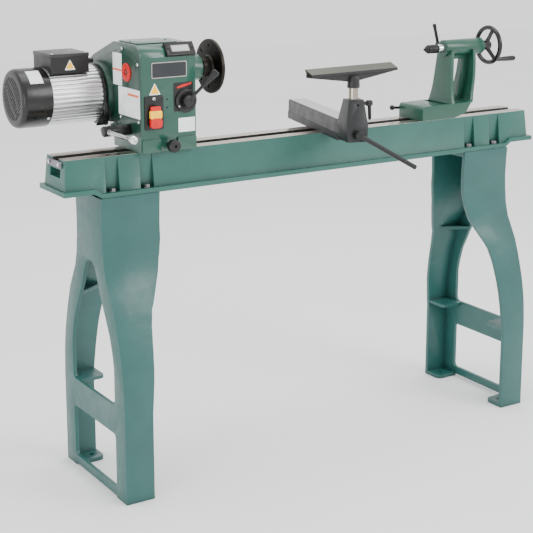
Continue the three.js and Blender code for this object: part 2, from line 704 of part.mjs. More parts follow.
function headCasting() {
  const base = block([HEAD_LEFT, HEAD_RIGHT], [-HEAD_FRONT, HEAD_BACK], [GAP, HEAD_BASE]);
  const left = COVER_RIGHT + GAP;
  const shell = prism('x', headOutline(0, HEAD_BASE - 1), [left, HEAD_RIGHT]);
  const hollow = prism('x', headOutline(HEAD_WALL, HEAD_BASE), [left - PAST, HEAD_RIGHT - HEAD_WALL]);
  const boss = bar('x', BOSS_RADIUS, [HEAD_RIGHT - HEAD_WALL, BOSS_END], [0, SPINDLE_Z], 20);
  const seatWeb = block([SEAT_WEB_PLACE, FRONT_SEAT],
    [-HEAD_FRONT + HEAD_WALL - 1, HEAD_TOP_BACK], [HEAD_BASE - 1, HEAD_TOP - HEAD_WALL + 1]);
  const frame = cut(join(base, shell), hollow);
  const ringBore = BEARING_RADIUS + GAP;
  const shoulder = SPINDLE_RADIUS + 8;
  const frontSeat = [BOSS_END - BEARING_LENGTH - 8, BOSS_END - 8];
  let head = join(frame, boss, seatWeb);
  head = cut(head,
    bore('x', ringBore, [SEAT_WEB_PLACE - PAST, SEAT_WEB_PLACE + BEARING_LENGTH + GAP], [0, SPINDLE_Z], 20),
    bore('x', shoulder, [SEAT_WEB_PLACE - PAST, BOSS_END + PAST], [0, SPINDLE_Z], 20),
    bore('x', ringBore, [frontSeat[0] - GAP, frontSeat[1] + GAP], [0, SPINDLE_Z], 20),
    bore('x', ringBore, [frontSeat[1] - 1, BOSS_END + PAST], [0, SPINDLE_Z], 20));

  // Underside: a round seat for the swivel plate, the clamp bolt's hole and the index pin's hole.
  head = cut(head,
    bore('z', SWIVEL_RADIUS + GAP, [-PAST, SWIVEL_THICKNESS + 2 * GAP], [0, 0], 20),
    bar('z', CLAMP_BOLT_RADIUS + 2, [0, HEAD_BASE + PAST], [0, 0], 10),
    block([-CLAMP_EYE_RADIUS / 2 - CLEAR, CLAMP_EYE_RADIUS / 2 + CLEAR],
      [-LOCK_FRONT - CLAMP_EYE_RADIUS - CLEAR, CLAMP_BOLT_RADIUS + CLEAR],
      [HEAD_BASE - 10, HEAD_BASE + PAST]),
    bore('x', LOCK_HUB_RADIUS + GAP, [HEAD_LEFT - PAST, LOCK_HUB_END + CLEAR],
      [-LOCK_FRONT, LOCK_HEIGHT], 16),
    bore('y', INDEX_RADIUS + GAP, [-HEAD_FRONT - PAST, -SWIVEL_RADIUS + PAST], [0, INDEX_HEIGHT], 8));

  // Raised pads and the shallow recess between them on the front of the base.
  const pads = [[HEAD_LEFT + 3, -24], [26, HEAD_RIGHT]].map(([from, to]) => prism('y',
    roundedBox([from, to], [GAP, PAD_HEIGHT], 5), [-HEAD_FRONT - BASE_PAD, -HEAD_FRONT + 1]));
  head = join(head, ...pads);
  head = cut(head, block([-24, 26], [-HEAD_FRONT - PAST, -HEAD_FRONT + BASE_PAD], [-PAST, PAD_HEIGHT]));

  // Openings: belt access in the top, switch and speed shaft in the front, readout seat.
  const lidHalf = HEAD_LENGTH / 2 - 20;
  head = cut(head,
    block([-lidHalf, SEAT_WEB_PLACE - CLEAR], [-HEAD_FRONT + HEAD_ROUND + 12, HEAD_TOP_BACK - 16],
      [HEAD_TOP - HEAD_WALL - 1, HEAD_TOP + PAST]),
    block([SWITCH_PLACE - SWITCH_BODY_WIDTH / 2 - GAP, SWITCH_PLACE + SWITCH_BODY_WIDTH / 2 + GAP],
      [-HEAD_FRONT - PAST, -HEAD_FRONT + HEAD_WALL + PAST],
      [SWITCH_HEIGHT - SWITCH_BODY_HEIGHT / 2 - GAP, SWITCH_HEIGHT + SWITCH_BODY_HEIGHT / 2 + GAP]),
    bore('y', 6 + GAP, [-HEAD_FRONT - PAST, -HEAD_FRONT + HEAD_WALL + PAST], [SPEED_PLACE, SPEED_HEIGHT], 8),
    prism('x', readoutOutline(READOUT_SEAT - GAP, READOUT_SEAT + READOUT_HEIGHT, READOUT_HEIGHT / 2 + GAP),
      [READOUT_PLACE - READOUT_LENGTH / 2 - GAP, READOUT_PLACE + READOUT_LENGTH / 2 + GAP]));
  return head;
}

// The left cover with the cast ring that the motor bolts to.
function pulleyCover() {
  const plate = prism('x', headOutline(0, HEAD_BASE + GAP), [HEAD_LEFT, COVER_RIGHT]);
  const ring = bar('x', MOUNT_RING_RADIUS, [MOTOR_START + BELL_THICKNESS + GAP, HEAD_LEFT + 1],
    [MOTOR_BACK, MOTOR_HEIGHT], 20);
  const places = [[-HEAD_FRONT + 8, SPINDLE_Z + 26], [-HEAD_FRONT + 8, HEAD_BASE + 38],
    [35, HEAD_BASE + 40], [20, HEAD_TOP - 14]];
  const screws = places.map((place) => bar('x', SCREW_HEAD, [HEAD_LEFT - 2, HEAD_LEFT + 1], place, 6));
  return cut(join(plate, ring, ...screws),
    bore('x', END_RING_RADIUS + GAP, [HEAD_LEFT - PAST, COVER_RIGHT + PAST], [0, SPINDLE_Z], 16),
    bore('x', LOCK_HUB_RADIUS + GAP, [HEAD_LEFT - PAST, COVER_RIGHT + PAST], [-LOCK_FRONT, LOCK_HEIGHT], 10),
    bar('x', MOTOR_PULLEY_RADIUS + PULLEY_RIM + CLEAR, [MOTOR_START - PAST, COVER_RIGHT + PAST],
      [MOTOR_BACK, MOTOR_HEIGHT], 16));
}

function topCover() {
  const half = HEAD_LENGTH / 2 - 12;
  const front = -HEAD_FRONT + HEAD_ROUND + 4;
  const lid = prism('z', roundedBox([-half, half - 20], [front, HEAD_TOP_BACK - 6], 6),
    [HEAD_TOP + GAP, HEAD_TOP + GAP + LID_THICKNESS]);
  const head = [HEAD_TOP + LID_THICKNESS, HEAD_TOP + GAP + LID_THICKNESS + 2];
  const middle = (front + HEAD_TOP_BACK - 6) / 2;
  const screws = [-half + 8, half - 28].map((x) => bar('z', SCREW_HEAD, head, [x, middle], 6));
  return join(lid, ...screws);
}

// The plate that the headstock turns on. Its key rides in the groove and its rim takes the index pin.
function swivelBase() {
  let plate = bar('z', SWIVEL_RADIUS, [GAP, SWIVEL_THICKNESS], [0, 0], 20);
  const key = GROOVE_WIDTH / 2 - GAP;
  plate = join(plate, block([-SWIVEL_KEY_LENGTH / 2, SWIVEL_KEY_LENGTH / 2], [-key, key],
    [-SWIVEL_KEY, GAP + 1]));
  plate = cut(plate, bore('z', CLAMP_BOLT_RADIUS + GAP,
    [-SWIVEL_KEY - PAST, SWIVEL_THICKNESS + PAST], [0, 0], 10));
  for (const angle of INDEX_ANGLES) {
    const turn = THREE.MathUtils.degToRad(-90 - angle);
    const [c, s] = [Math.cos(turn), Math.sin(turn)];
    const [inner, outer] = [SWIVEL_RADIUS - INDEX_TRAVEL - 1, SWIVEL_RADIUS + PAST];
    plate = cut(plate, rod([inner * c, inner * s, INDEX_HEIGHT], [outer * c, outer * s, INDEX_HEIGHT],
      INDEX_RADIUS + GAP, 16));
  }
  return plate;
}

// A clamp bolt: an eye round a cross shaft, a stem through the groove and a nut under the plate.
function clampBolt(eyeAcross, eyeHeight, shaftRadius, eyeAxis) {
  const eye = CLAMP_EYE_RADIUS / 2;
  const place = eyeAxis === 'x' ? [-eyeAcross, eyeHeight] : [0, eyeHeight];
  const plateFoot = CLAMP_TOP - CLAMP_PLATE_THICKNESS - GAP;
  const bolt = join(
    bar(eyeAxis, CLAMP_EYE_RADIUS, [-eye, eye], place, 12),
    bar('z', CLAMP_BOLT_RADIUS, [plateFoot - CLAMP_NUT_HEIGHT - 2, eyeHeight - shaftRadius / 2], [0, 0], 10),
    bar('z', CLAMP_NUT_RADIUS, [plateFoot - CLAMP_NUT_HEIGHT, plateFoot], [0, 0], 6),
  );
  return cut(bolt, bore(eyeAxis, shaftRadius + GAP, [-eye - PAST, eye + PAST], place, 10));
}

function clampPlate() {
  const [long, wide] = [CLAMP_PLATE_LENGTH / 2, CLAMP_PLATE_WIDTH / 2];
  const plate = prism('z', roundedBox([-long, long], [-wide, wide], 6),
    [CLAMP_TOP - CLAMP_PLATE_THICKNESS, CLAMP_TOP]);
  const key = block([-long, long], [-GROOVE_WIDTH / 2 + 1, GROOVE_WIDTH / 2 - 1],
    [CLAMP_TOP - 1, CLAMP_TOP + WAY_THICKNESS - SWIVEL_KEY - 2]);
  return cut(join(plate, key), bore('z', CLAMP_BOLT_RADIUS + GAP,
    [CLAMP_TOP - CLAMP_PLATE_THICKNESS - PAST, PAST], [0, 0], 10));
}

function lockShaft() {
  const out = HEAD_LEFT - LOCK_HUB_REACH;
  const inner = LOCK_HUB_END;
  const shaft = turned('x', [[0, out], [LOCK_HUB_RADIUS - 1, out], [LOCK_HUB_RADIUS, out + 1],
    [LOCK_HUB_RADIUS, inner], [LOCK_SHAFT_RADIUS, inner], [LOCK_SHAFT_RADIUS, SEAT_WEB_PLACE - 2],
    [0, SEAT_WEB_PLACE - 2]], LOCK_PIVOT, 12);
  const through = [-LOCK_FRONT - LOCK_HUB_RADIUS - PAST, -LOCK_FRONT + LOCK_HUB_RADIUS + PAST];
  return cut(shaft, bore('y', LOCK_LEVER_RADIUS + GAP, through, [out + LOCK_LEVER_INSET, LOCK_HEIGHT], 8));
}

// The bright lever runs through the end of the lock shaft and ends in a ball.
function lockLever() {
  const x = HEAD_LEFT - LOCK_HUB_REACH + LOCK_LEVER_INSET;
  const back = -LOCK_FRONT + LOCK_HUB_RADIUS + 1;
  const tip = -LOCK_FRONT - LOCK_LEVER_LENGTH;
  const front = -LOCK_FRONT - LOCK_HUB_RADIUS - 1;
  const ball = new THREE.SphereGeometry(LOCK_BALL_RADIUS, 12, 8);
  return join(
    turned('y', [[0, tip], [5, tip], [5.5, tip + 30], [8, front - 8], [8, front], [LOCK_LEVER_RADIUS, front],
      [LOCK_LEVER_RADIUS, back], [9, back], [9, back + 8], [7, back + 10], [0, back + 10]],
      [x, LOCK_HEIGHT], 10),
    solid(ball.translate(x, tip, LOCK_HEIGHT)),
  );
}

function indexPlunger() {
  const tip = -SWIVEL_RADIUS - GAP - 0.5;
  const neck = -HEAD_FRONT - INDEX_TRAVEL - CLEAR;
  return turned('y', [[0, tip], [INDEX_RADIUS, tip], [INDEX_RADIUS, neck], [9, neck], [9, neck - 4],
    [INDEX_KNOB_RADIUS, neck - 6], [INDEX_KNOB_RADIUS, neck - INDEX_KNOB_LENGTH + 3],
    [INDEX_KNOB_RADIUS - 3, neck - INDEX_KNOB_LENGTH], [0, neck - INDEX_KNOB_LENGTH]],
    [0, INDEX_HEIGHT], 10);
}

// ---------------------------------------------------------------- spindle and drive

const PULLEY_LEFT = PULLEY_PLACE - BELT_WIDTH / 2 - 1;
const PULLEY_RIGHT = PULLEY_PLACE + BELT_WIDTH / 2 + 1;
const FRONT_BEARING = BOSS_END - 8 - BEARING_LENGTH;

function spindle() {
  const nose = SPINDLE_RADIUS + 0.9;
  const start = BOSS_END + GAP;
  const collarEnd = start + 6;
  const noseEnd = collarEnd + FACEPLATE_HUB_LENGTH - CLEAR;
  return turned('x', [
    [SPINDLE_BORE, HEAD_LEFT + GAP],
    [SPINDLE_RADIUS - SPINDLE_STEP, HEAD_LEFT + GAP],
    [SPINDLE_RADIUS - SPINDLE_STEP, PULLEY_RIGHT + 5 + GAP],
    [SPINDLE_RADIUS, PULLEY_RIGHT + 5 + GAP],
    [SPINDLE_RADIUS, SEAT_WEB_PLACE + BEARING_LENGTH + 2 * GAP],
    [SPINDLE_RADIUS + 3, SEAT_WEB_PLACE + BEARING_LENGTH + 2 * GAP],
    [SPINDLE_RADIUS + 3, FRONT_BEARING - 2 * GAP],
    [SPINDLE_RADIUS, FRONT_BEARING - 2 * GAP],
    [SPINDLE_RADIUS, start],
    [SPINDLE_COLLAR, start],
    [SPINDLE_COLLAR, collarEnd],
    [nose, collarEnd],
    [nose, noseEnd],
    [SPINDLE_BORE + 3, noseEnd],
    [SPINDLE_BORE, noseEnd - 8],
    [SPINDLE_BORE, HEAD_LEFT + GAP],
  ], [0, SPINDLE_Z], 16);
}

function bearing(start) {
  const [inner, outer] = [SPINDLE_RADIUS + GAP, BEARING_RADIUS];
  return turned('x', [[inner, start], [outer, start], [outer, start + BEARING_LENGTH],
    [inner, start + BEARING_LENGTH], [inner, start]], [0, SPINDLE_Z], 16);
}

function pulley(under, bore, place) {
  const rim = under + PULLEY_RIM;
  return turned('x', [
    [bore, PULLEY_LEFT - 5],
    [rim, PULLEY_LEFT - 5],
    [rim, PULLEY_LEFT - 2],
    [under, PULLEY_LEFT],
    [under, PULLEY_RIGHT],
    [rim, PULLEY_RIGHT + 2],
    [rim, PULLEY_RIGHT + 5],
    [bore, PULLEY_RIGHT + 5],
    [bore, PULLEY_LEFT - 5],
  ], place, 20);
}

// The belt hugs both pulleys: two arcs joined by their common tangents.
function driveBelt() {
  const way = [MOTOR_BACK, MOTOR_HEIGHT - SPINDLE_Z];
  const span = Math.hypot(...way);
  const bearingAngle = THREE.MathUtils.radToDeg(Math.atan2(way[1], way[0]));
  const swing = THREE.MathUtils.radToDeg(Math.acos((SPINDLE_PULLEY_RADIUS - MOTOR_PULLEY_RADIUS) / span));
  const [first, last] = [bearingAngle + swing, bearingAngle + 360 - swing];
  const loop = (offset) => [
    ...arc([0, SPINDLE_Z], SPINDLE_PULLEY_RADIUS + offset, first, last, 14),
    ...arc([MOTOR_BACK, MOTOR_HEIGHT], MOTOR_PULLEY_RADIUS + offset, last - 360, first, 8),
  ];
  const wide = [PULLEY_PLACE - BELT_WIDTH / 2, PULLEY_PLACE + BELT_WIDTH / 2];
  const reach = [wide[0] - 1, wide[1] + 1];
  return cut(prism('x', loop(2 * GAP + BELT_THICKNESS), wide), prism('x', loop(2 * GAP), reach));
}

function faceplate() {
  const start = BOSS_END + GAP + 6 + GAP;
  const back = start + FACEPLATE_HUB_LENGTH;
  const front = back + FACEPLATE_THICKNESS;
  const bore = SPINDLE_RADIUS + 0.9 + GAP;
  let plate = turned('x', [
    [bore, start],
    [FACEPLATE_HUB_RADIUS - 2, start],
    [FACEPLATE_HUB_RADIUS, start + 2],
    [FACEPLATE_HUB_RADIUS, back],
    [FACEPLATE_RADIUS - 1.5, back],
    [FACEPLATE_RADIUS, back + 1.5],
    [FACEPLATE_RADIUS, front - 1.5],
    [FACEPLATE_RADIUS - 1.5, front],
    [bore, front],
    [bore, start],
  ], [0, SPINDLE_Z], 22);
  for (let i = 0; i < 8; i += 1) {
    const [[y, z]] = arc([0, SPINDLE_Z], 0.76 * FACEPLATE_RADIUS, 45 * i, 45 * i, 1);
    plate = cut(plate, bar('x', 3, [back - PAST, front + PAST], [y, z], 6));
  }
  return plate;
}

function endRing() {
  const out = HEAD_LEFT - 3;
  const inner = SPINDLE_RADIUS - SPINDLE_STEP + GAP;
  return turned('x', [[SPINDLE_BORE + 4, out], [END_RING_RADIUS - 1, out], [END_RING_RADIUS, out + 1],
    [END_RING_RADIUS, COVER_RIGHT], [inner, COVER_RIGHT], [inner, HEAD_LEFT],
    [SPINDLE_BORE + 4, HEAD_LEFT], [SPINDLE_BORE + 4, out]], [0, SPINDLE_Z], 16);
}

// ---------------------------------------------------------------- motor

const MOTOR_AXIS = [MOTOR_BACK, MOTOR_HEIGHT];
const MOTOR_END = MOTOR_START - MOTOR_LENGTH;
const FAN_END = MOTOR_END - FAN_COVER_LENGTH;

function tube(outer, inner, [from, to], place, sides = 20) {
  return turned('x', [[inner, from], [outer, from], [outer, to], [inner, to], [inner, from]], place, sides);
}

function endBell() {
  const [near, far] = [MOTOR_START + GAP, MOTOR_START + BELL_THICKNESS];
  const foot = MOTOR_HEIGHT - MOTOR_RADIUS + 1;
  const front = MOTOR_BACK - MOTOR_RADIUS;
  const disc = bar('x', MOTOR_RADIUS, [near, far], MOTOR_AXIS, 20);
  const bracket = prism('x', [[front - 4, foot], [MOTOR_BACK - 15, foot], [MOTOR_BACK, MOTOR_HEIGHT],
    [front + 6, MOTOR_HEIGHT], [front - 4, MOTOR_HEIGHT - 24]], [near, far]);
  const rib = prism('y', [[near + 1, foot], [near + 1, foot + 44], [near - 22, foot]],
    [front + 2, front + 8]);
  const shell = bore('x', MOTOR_RADIUS + GAP, [near - 40, near], MOTOR_AXIS, 20);
  return cut(join(disc, bracket, cut(rib, shell)),
    bore('x', MOTOR_SHAFT_RADIUS + GAP, [near - PAST, far + PAST], MOTOR_AXIS, 10));
}

function fanCover() {
  const [start, end] = [MOTOR_END - GAP, FAN_END];
  const [outer, inner] = [MOTOR_RADIUS, MOTOR_RADIUS - FAN_COVER_WALL];
  let cover = turned('x', [
    [inner, start],
    [outer, start],
    [outer, end + 8],
    [outer - 2.5, end + 2.5],
    [outer - 8, end],
    [0, end],
    [0, end + FAN_COVER_WALL],
    [inner - 7, end + FAN_COVER_WALL],
    [inner, end + 9],
    [inner, start],
  ], MOTOR_AXIS, 20);
  const pitch = 18;
  for (let row = -2.5; row <= 2.5; row += 1) {
    const half = Math.sqrt((MOTOR_RADIUS - 18) ** 2 - (row * pitch) ** 2);
    const slot = new THREE.BoxGeometry(4 * FAN_COVER_WALL, 2 * half, 6);
    slot.translate(0, 0, row * pitch).rotateX(THREE.MathUtils.degToRad(-35));
    cover = cut(cover, solid(slot.translate(end, ...MOTOR_AXIS)));
  }
  return cover;
}

// Shaft, rotor core and the short end that carries the fan.
function motorRotor() {
  const [left, right] = [FAN_END + 12, PULLEY_RIGHT + 8];
  const core = [MOTOR_END + 25, MOTOR_START - 25];
  return turned('x', [[0, left], [6, left], [6, MOTOR_END - 12], [MOTOR_SHAFT_RADIUS, MOTOR_END - 12],
    [MOTOR_SHAFT_RADIUS, core[0]], [ROTOR_RADIUS, core[0]], [ROTOR_RADIUS, core[1]],
    [MOTOR_SHAFT_RADIUS, core[1]], [MOTOR_SHAFT_RADIUS, right], [0, right]], MOTOR_AXIS, 12);
}

function coolingFan() {
  const [left, right] = [FAN_END + 22, FAN_END + 46];
  let fan = tube(16, 6 + 2 * GAP, [left, right], MOTOR_AXIS, 10);
  for (let i = 0; i < 6; i += 1) {
    const blade = new THREE.BoxGeometry(right - left - 4, MOTOR_RADIUS - 30, 2.5);
    blade.translate(0, (MOTOR_RADIUS - 30) / 2 + 13, 0).rotateX((i * Math.PI) / 3);
    fan = join(fan, solid(blade.translate((left + right) / 2, ...MOTOR_AXIS)));
  }
  return fan;
}

const BOX_LEFT = MOTOR_END + 4;
const BOX_FRONT = MOTOR_BACK - BOX_WIDTH / 2;

// The junction box straddles the motor, with a cable gland in its right wall.
function junctionBox() {
  const top = MOTOR_HEIGHT + BOX_TOP - BOX_LID - GAP;
  const right = BOX_LEFT + BOX_LENGTH;
  const outer = block([BOX_LEFT, right], [BOX_FRONT, BOX_FRONT + BOX_WIDTH], [MOTOR_HEIGHT + 64, top]);
  const inner = block([BOX_LEFT + BOX_WALL, right - BOX_WALL],
    [BOX_FRONT + BOX_WALL, BOX_FRONT + BOX_WIDTH - BOX_WALL], [MOTOR_HEIGHT + MOTOR_RADIUS + 4, top + PAST]);
  const gland = [BOX_FRONT + 20, (MOTOR_HEIGHT + MOTOR_RADIUS + top) / 2];
  return cut(
    join(cut(outer, inner), bar('x', 9, [right - 1, right + 7], gland, 6),
      bar('x', 7, [right, right + 20], gland, 16)),
    bore('x', MOTOR_RADIUS + GAP, [MOTOR_END - PAST, MOTOR_START + BELL_THICKNESS + PAST], MOTOR_AXIS, 20),
    bar('x', 4, [right - BOX_WALL - PAST, right + 20 + PAST], gland, 12),
  );
}

function junctionLid() {
  const top = MOTOR_HEIGHT + BOX_TOP;
  return prism('z', roundedBox([BOX_LEFT - 2, BOX_LEFT + BOX_LENGTH + 2],
    [BOX_FRONT - 2, BOX_FRONT + BOX_WIDTH + 2], 4), [top - BOX_LID, top]);
}

// ---------------------------------------------------------------- controls

const FRONT = -HEAD_FRONT - GAP;
const PLATE_FACE = FRONT - SWITCH_PLATE_THICKNESS;

function switchHousing() {
  const outline = roundedBox(
    [SWITCH_PLACE - SWITCH_PLATE_WIDTH / 2, SWITCH_PLACE + SWITCH_PLATE_WIDTH / 2],
    [SWITCH_HEIGHT - SWITCH_PLATE_HEIGHT / 2, SWITCH_HEIGHT + SWITCH_PLATE_HEIGHT / 2],
    4,
  );
  const plate = prism('y', outline, [PLATE_FACE, FRONT]);
  const body = block([SWITCH_PLACE - SWITCH_BODY_WIDTH / 2, SWITCH_PLACE + SWITCH_BODY_WIDTH / 2],
    [FRONT - 1, FRONT + SWITCH_BODY_DEPTH],
    [SWITCH_HEIGHT - SWITCH_BODY_HEIGHT / 2, SWITCH_HEIGHT + SWITCH_BODY_HEIGHT / 2]);
  const screws = [-1, 1].map((side) => bar('y', 4, [PLATE_FACE - 2, PLATE_FACE + 1],
    [SWITCH_PLACE, SWITCH_HEIGHT + side * (SWITCH_PLATE_HEIGHT / 2 - 7)], 8));
  return join(plate, body, ...screws);
}

// The red paddle hangs from a pin at its top and leans out a little at its foot.
function switchPaddle() {
  const back = PLATE_FACE - PADDLE_GAP;
  const top = SWITCH_HEIGHT + PADDLE_HEIGHT / 2 - 10;
  const foot = top - PADDLE_HEIGHT;
  const face = back - PADDLE_THICKNESS;
  const outline = [[back, foot + 4], [back, top], [face + 3, top], [face - 1, top - 14],
    [face - 2, foot + 6], [face + 1, foot], [back - 2, foot]];
  return prism('x', outline, [SWITCH_PLACE - PADDLE_WIDTH / 2, SWITCH_PLACE + PADDLE_WIDTH / 2]);
}

function speedBezel() {
  const [near, far] = [FRONT, FRONT - SPEED_BEZEL_THICKNESS];
  const inner = 6 + GAP;
  return turned('y', [[inner, near], [SPEED_BEZEL_RADIUS, near], [SPEED_BEZEL_RADIUS, far + 2],
    [SPEED_BEZEL_RADIUS - 2, far], [inner, far], [inner, near]], [SPEED_PLACE, SPEED_HEIGHT], 16);
}

const SPEED_FACE = FRONT - SPEED_BEZEL_THICKNESS - GAP;

// Speed lever: a hub on a shaft, a slim arm and a fatter grip that leans towards the operator.
function speedLever() {
  const face = SPEED_FACE - SPEED_HUB_LENGTH;
  const hub = turned('y', [[0, face], [SPEED_HUB_RADIUS - 2, face], [SPEED_HUB_RADIUS, face + 2],
    [SPEED_HUB_RADIUS, SPEED_FACE], [6, SPEED_FACE], [6, -HEAD_FRONT + HEAD_WALL + CLEAR],
    [0, -HEAD_FRONT + HEAD_WALL + CLEAR]], [SPEED_PLACE, SPEED_HEIGHT], 12);
  const way = new THREE.Vector3(71, -26, 75).normalize();
  const start = new THREE.Vector3(SPEED_PLACE, SPEED_FACE - SPEED_HUB_LENGTH / 2, SPEED_HEIGHT);
  const at = (distance) => start.clone().addScaledVector(way, distance).toArray();
  const gripEnd = SPEED_ARM_LENGTH + SPEED_GRIP_LENGTH;
  return join(hub,
    rod(at(0), at(SPEED_ARM_LENGTH + 2), 4.5, 8),
    rod(at(SPEED_ARM_LENGTH), at(gripEnd - 3), 6, 8, 10),
    rod(at(gripEnd - 3.2), at(gripEnd), 10, 8, 8));
}

function readoutHousing() {
  const span = [READOUT_PLACE - READOUT_LENGTH / 2, READOUT_PLACE + READOUT_LENGTH / 2];
  const body = prism('x',
    readoutOutline(READOUT_SEAT, READOUT_SEAT + READOUT_THICKNESS, READOUT_HEIGHT / 2), span);
  const window = prism('x', readoutOutline(READOUT_SEAT + READOUT_THICKNESS - 1.5,
    READOUT_SEAT + READOUT_THICKNESS + 5, READOUT_HEIGHT / 4), [span[0] + 16, span[1] - 16]);
  return cut(body, window);
}

// ---------------------------------------------------------------- banjo and tool rest

// The banjo: an inverted channel over the bed with a post box at its front end.
function banjoCasting() {
  const [half, topHalf] = [BANJO_WIDTH / 2, BANJO_TOP_WIDTH / 2];
  const section = [[-half, GAP], [half, GAP], [half, BANJO_LIP], [topHalf + 1, BANJO_LIP + 3],
    [topHalf, BANJO_HEIGHT - 3], [topHalf - 3, BANJO_HEIGHT], [3 - topHalf, BANJO_HEIGHT],
    [-topHalf, BANJO_HEIGHT - 3], [-topHalf - 1, BANJO_LIP + 3], [-half, BANJO_LIP]];
  const boxBack = BANJO_FRONT;
  const boxFront = BANJO_FRONT + POST_BOX_LENGTH;
  const body = prism('y', section, [-boxBack - 4, BANJO_BACK]);
  const box = tapered([
    { z: 5, x: [-28, 28], y: [-boxFront, -boxBack] },
    { z: BANJO_HEIGHT - 10, x: [-31, 31], y: [-boxFront + 2, -boxBack] },
    { z: POST_BOX_TOP, x: [-22, 22], y: [-POST_PLACE - 21, -POST_PLACE + 18] },
  ]);
  const channel = block([-BANJO_SLOT / 2, BANJO_SLOT / 2], [-boxBack + 16, BANJO_BACK - 12],
    [-PAST, BANJO_HEIGHT - BANJO_ROOF]);
  const ends = [-boxFront - PAST, BANJO_BACK + PAST];
  return cut(join(body, box), channel,
    bore('y', CLAMP_SHAFT_RADIUS + GAP, [ends[0], BANJO_BACK - 4], [0, CLAMP_SHAFT_HEIGHT], 10),
    bore('z', POST_RADIUS + GAP, [CLAMP_SHAFT_HEIGHT + CLAMP_SHAFT_RADIUS + CLEAR, POST_BOX_TOP + PAST],
      [0, -POST_PLACE], 16),
    bore('x', 5 + GAP, [POST_RADIUS - 2, half + PAST], [-POST_PLACE, POST_BOX_TOP - 13], 8),
    bar('y', 3, [-boxFront - PAST, -boxFront + 20], [4, POST_BOX_TOP - 14], 8));
}

// The eccentric clamp shaft with the bar that turns it.
function clampBar() {
  const front = -BANJO_FRONT - POST_BOX_LENGTH;
  const shaft = bar('y', CLAMP_SHAFT_RADIUS, [front - 16, BANJO_BACK - 14], [0, CLAMP_SHAFT_HEIGHT], 10);
  const dip = THREE.MathUtils.degToRad(CLAMP_BAR_DIP);
  const [along, down] = [Math.cos(dip), Math.sin(dip)];
  const at = (distance) => [distance * along, front - 10, CLAMP_SHAFT_HEIGHT - distance * down];
  return join(shaft, rod(at(0), at(CLAMP_BAR_LENGTH), CLAMP_BAR_RADIUS, 8),
    bar('y', CLAMP_SHAFT_RADIUS + 3, [front - 18, front - 2], [0, CLAMP_SHAFT_HEIGHT], 10));
}

function restPost() {
  const top = REST_COLLAR_FOOT + REST_SOCKET;
  return turned('z', [[0, POST_FOOT], [POST_RADIUS - 1, POST_FOOT], [POST_RADIUS, POST_FOOT + 1],
    [POST_RADIUS, top], [0, top]], [0, 0], 12);
}

// The tool rest: a sloping blade with a front lip over a tapering web, on a collar round the post.
function toolRest() {
  const half = REST_LENGTH / 2;
  const blade = prism('x', [
    [-8, REST_TOP - 20],
    [-10, REST_TOP - 19],
    [-10, REST_TOP - 12],
    [-6, REST_TOP - 11],
    [20, REST_TOP],
    [24, REST_TOP - 1],
    [17, REST_TOP - 9],
    [17, REST_TOP - 22],
    [12, REST_TOP - 22],
    [10, REST_TOP - 13],
  ], [-half, half]);
  const web = prism('y', [
    [-half + 6, REST_TOP - 14],
    [-half + 2, REST_TOP - 22],
    [-REST_COLLAR_RADIUS, REST_TOP - 40],
    [REST_COLLAR_RADIUS, REST_TOP - 40],
    [half - 2, REST_TOP - 22],
    [half - 6, REST_TOP - 14],
  ], [1, 17]);
  const shape = join(blade, web,
    bar('z', REST_COLLAR_RADIUS, [REST_COLLAR_FOOT, REST_TOP - 26], [0, 0], 16, REST_COLLAR_RADIUS - 2));
  return cut(shape, bore('z', POST_RADIUS + GAP,
    [REST_COLLAR_FOOT - PAST, REST_COLLAR_FOOT + REST_SOCKET + GAP], [0, 0], 12));
}

// A ratchet handle whose screw pinches the post.
function postLock() {
  const z = POST_BOX_TOP - 13;
  return join(
    bar('x', 5, [POST_RADIUS + 1, 42], [-POST_PLACE, z], 8),
    bar('x', 8, [38, 56], [-POST_PLACE, z], 8, 7),
    rod([47, -POST_PLACE, z], [49, -POST_PLACE, z - 46], 6.5, 8, 4.5),
  );
}

// ---------------------------------------------------------------- tailstock

const TAIL_SIDE = BED_WIDTH / 2 + 0.5;
const TAIL_CLAMP_PLACE = 58;
const TAIL_CLAMP_HEIGHT = 20;
const BARREL_END = BARREL_START + BARREL_LENGTH;
const QUILL_START = BARREL_START - QUILL_OUT;
const WHEEL_PLANE = BARREL_END + WHEEL_HUB_LENGTH;
const COLUMN_TOP = SPINDLE_Z - 8;
const QUILL_LOCK_PLACE = BARREL_START + 14;
const QUILL_LOCK_RISE = 6; // above the quill's axis
const QUILL_LOCK_BOSS = 7; // out of the barrel
const QUILL_LOCK_SCREW = 5;

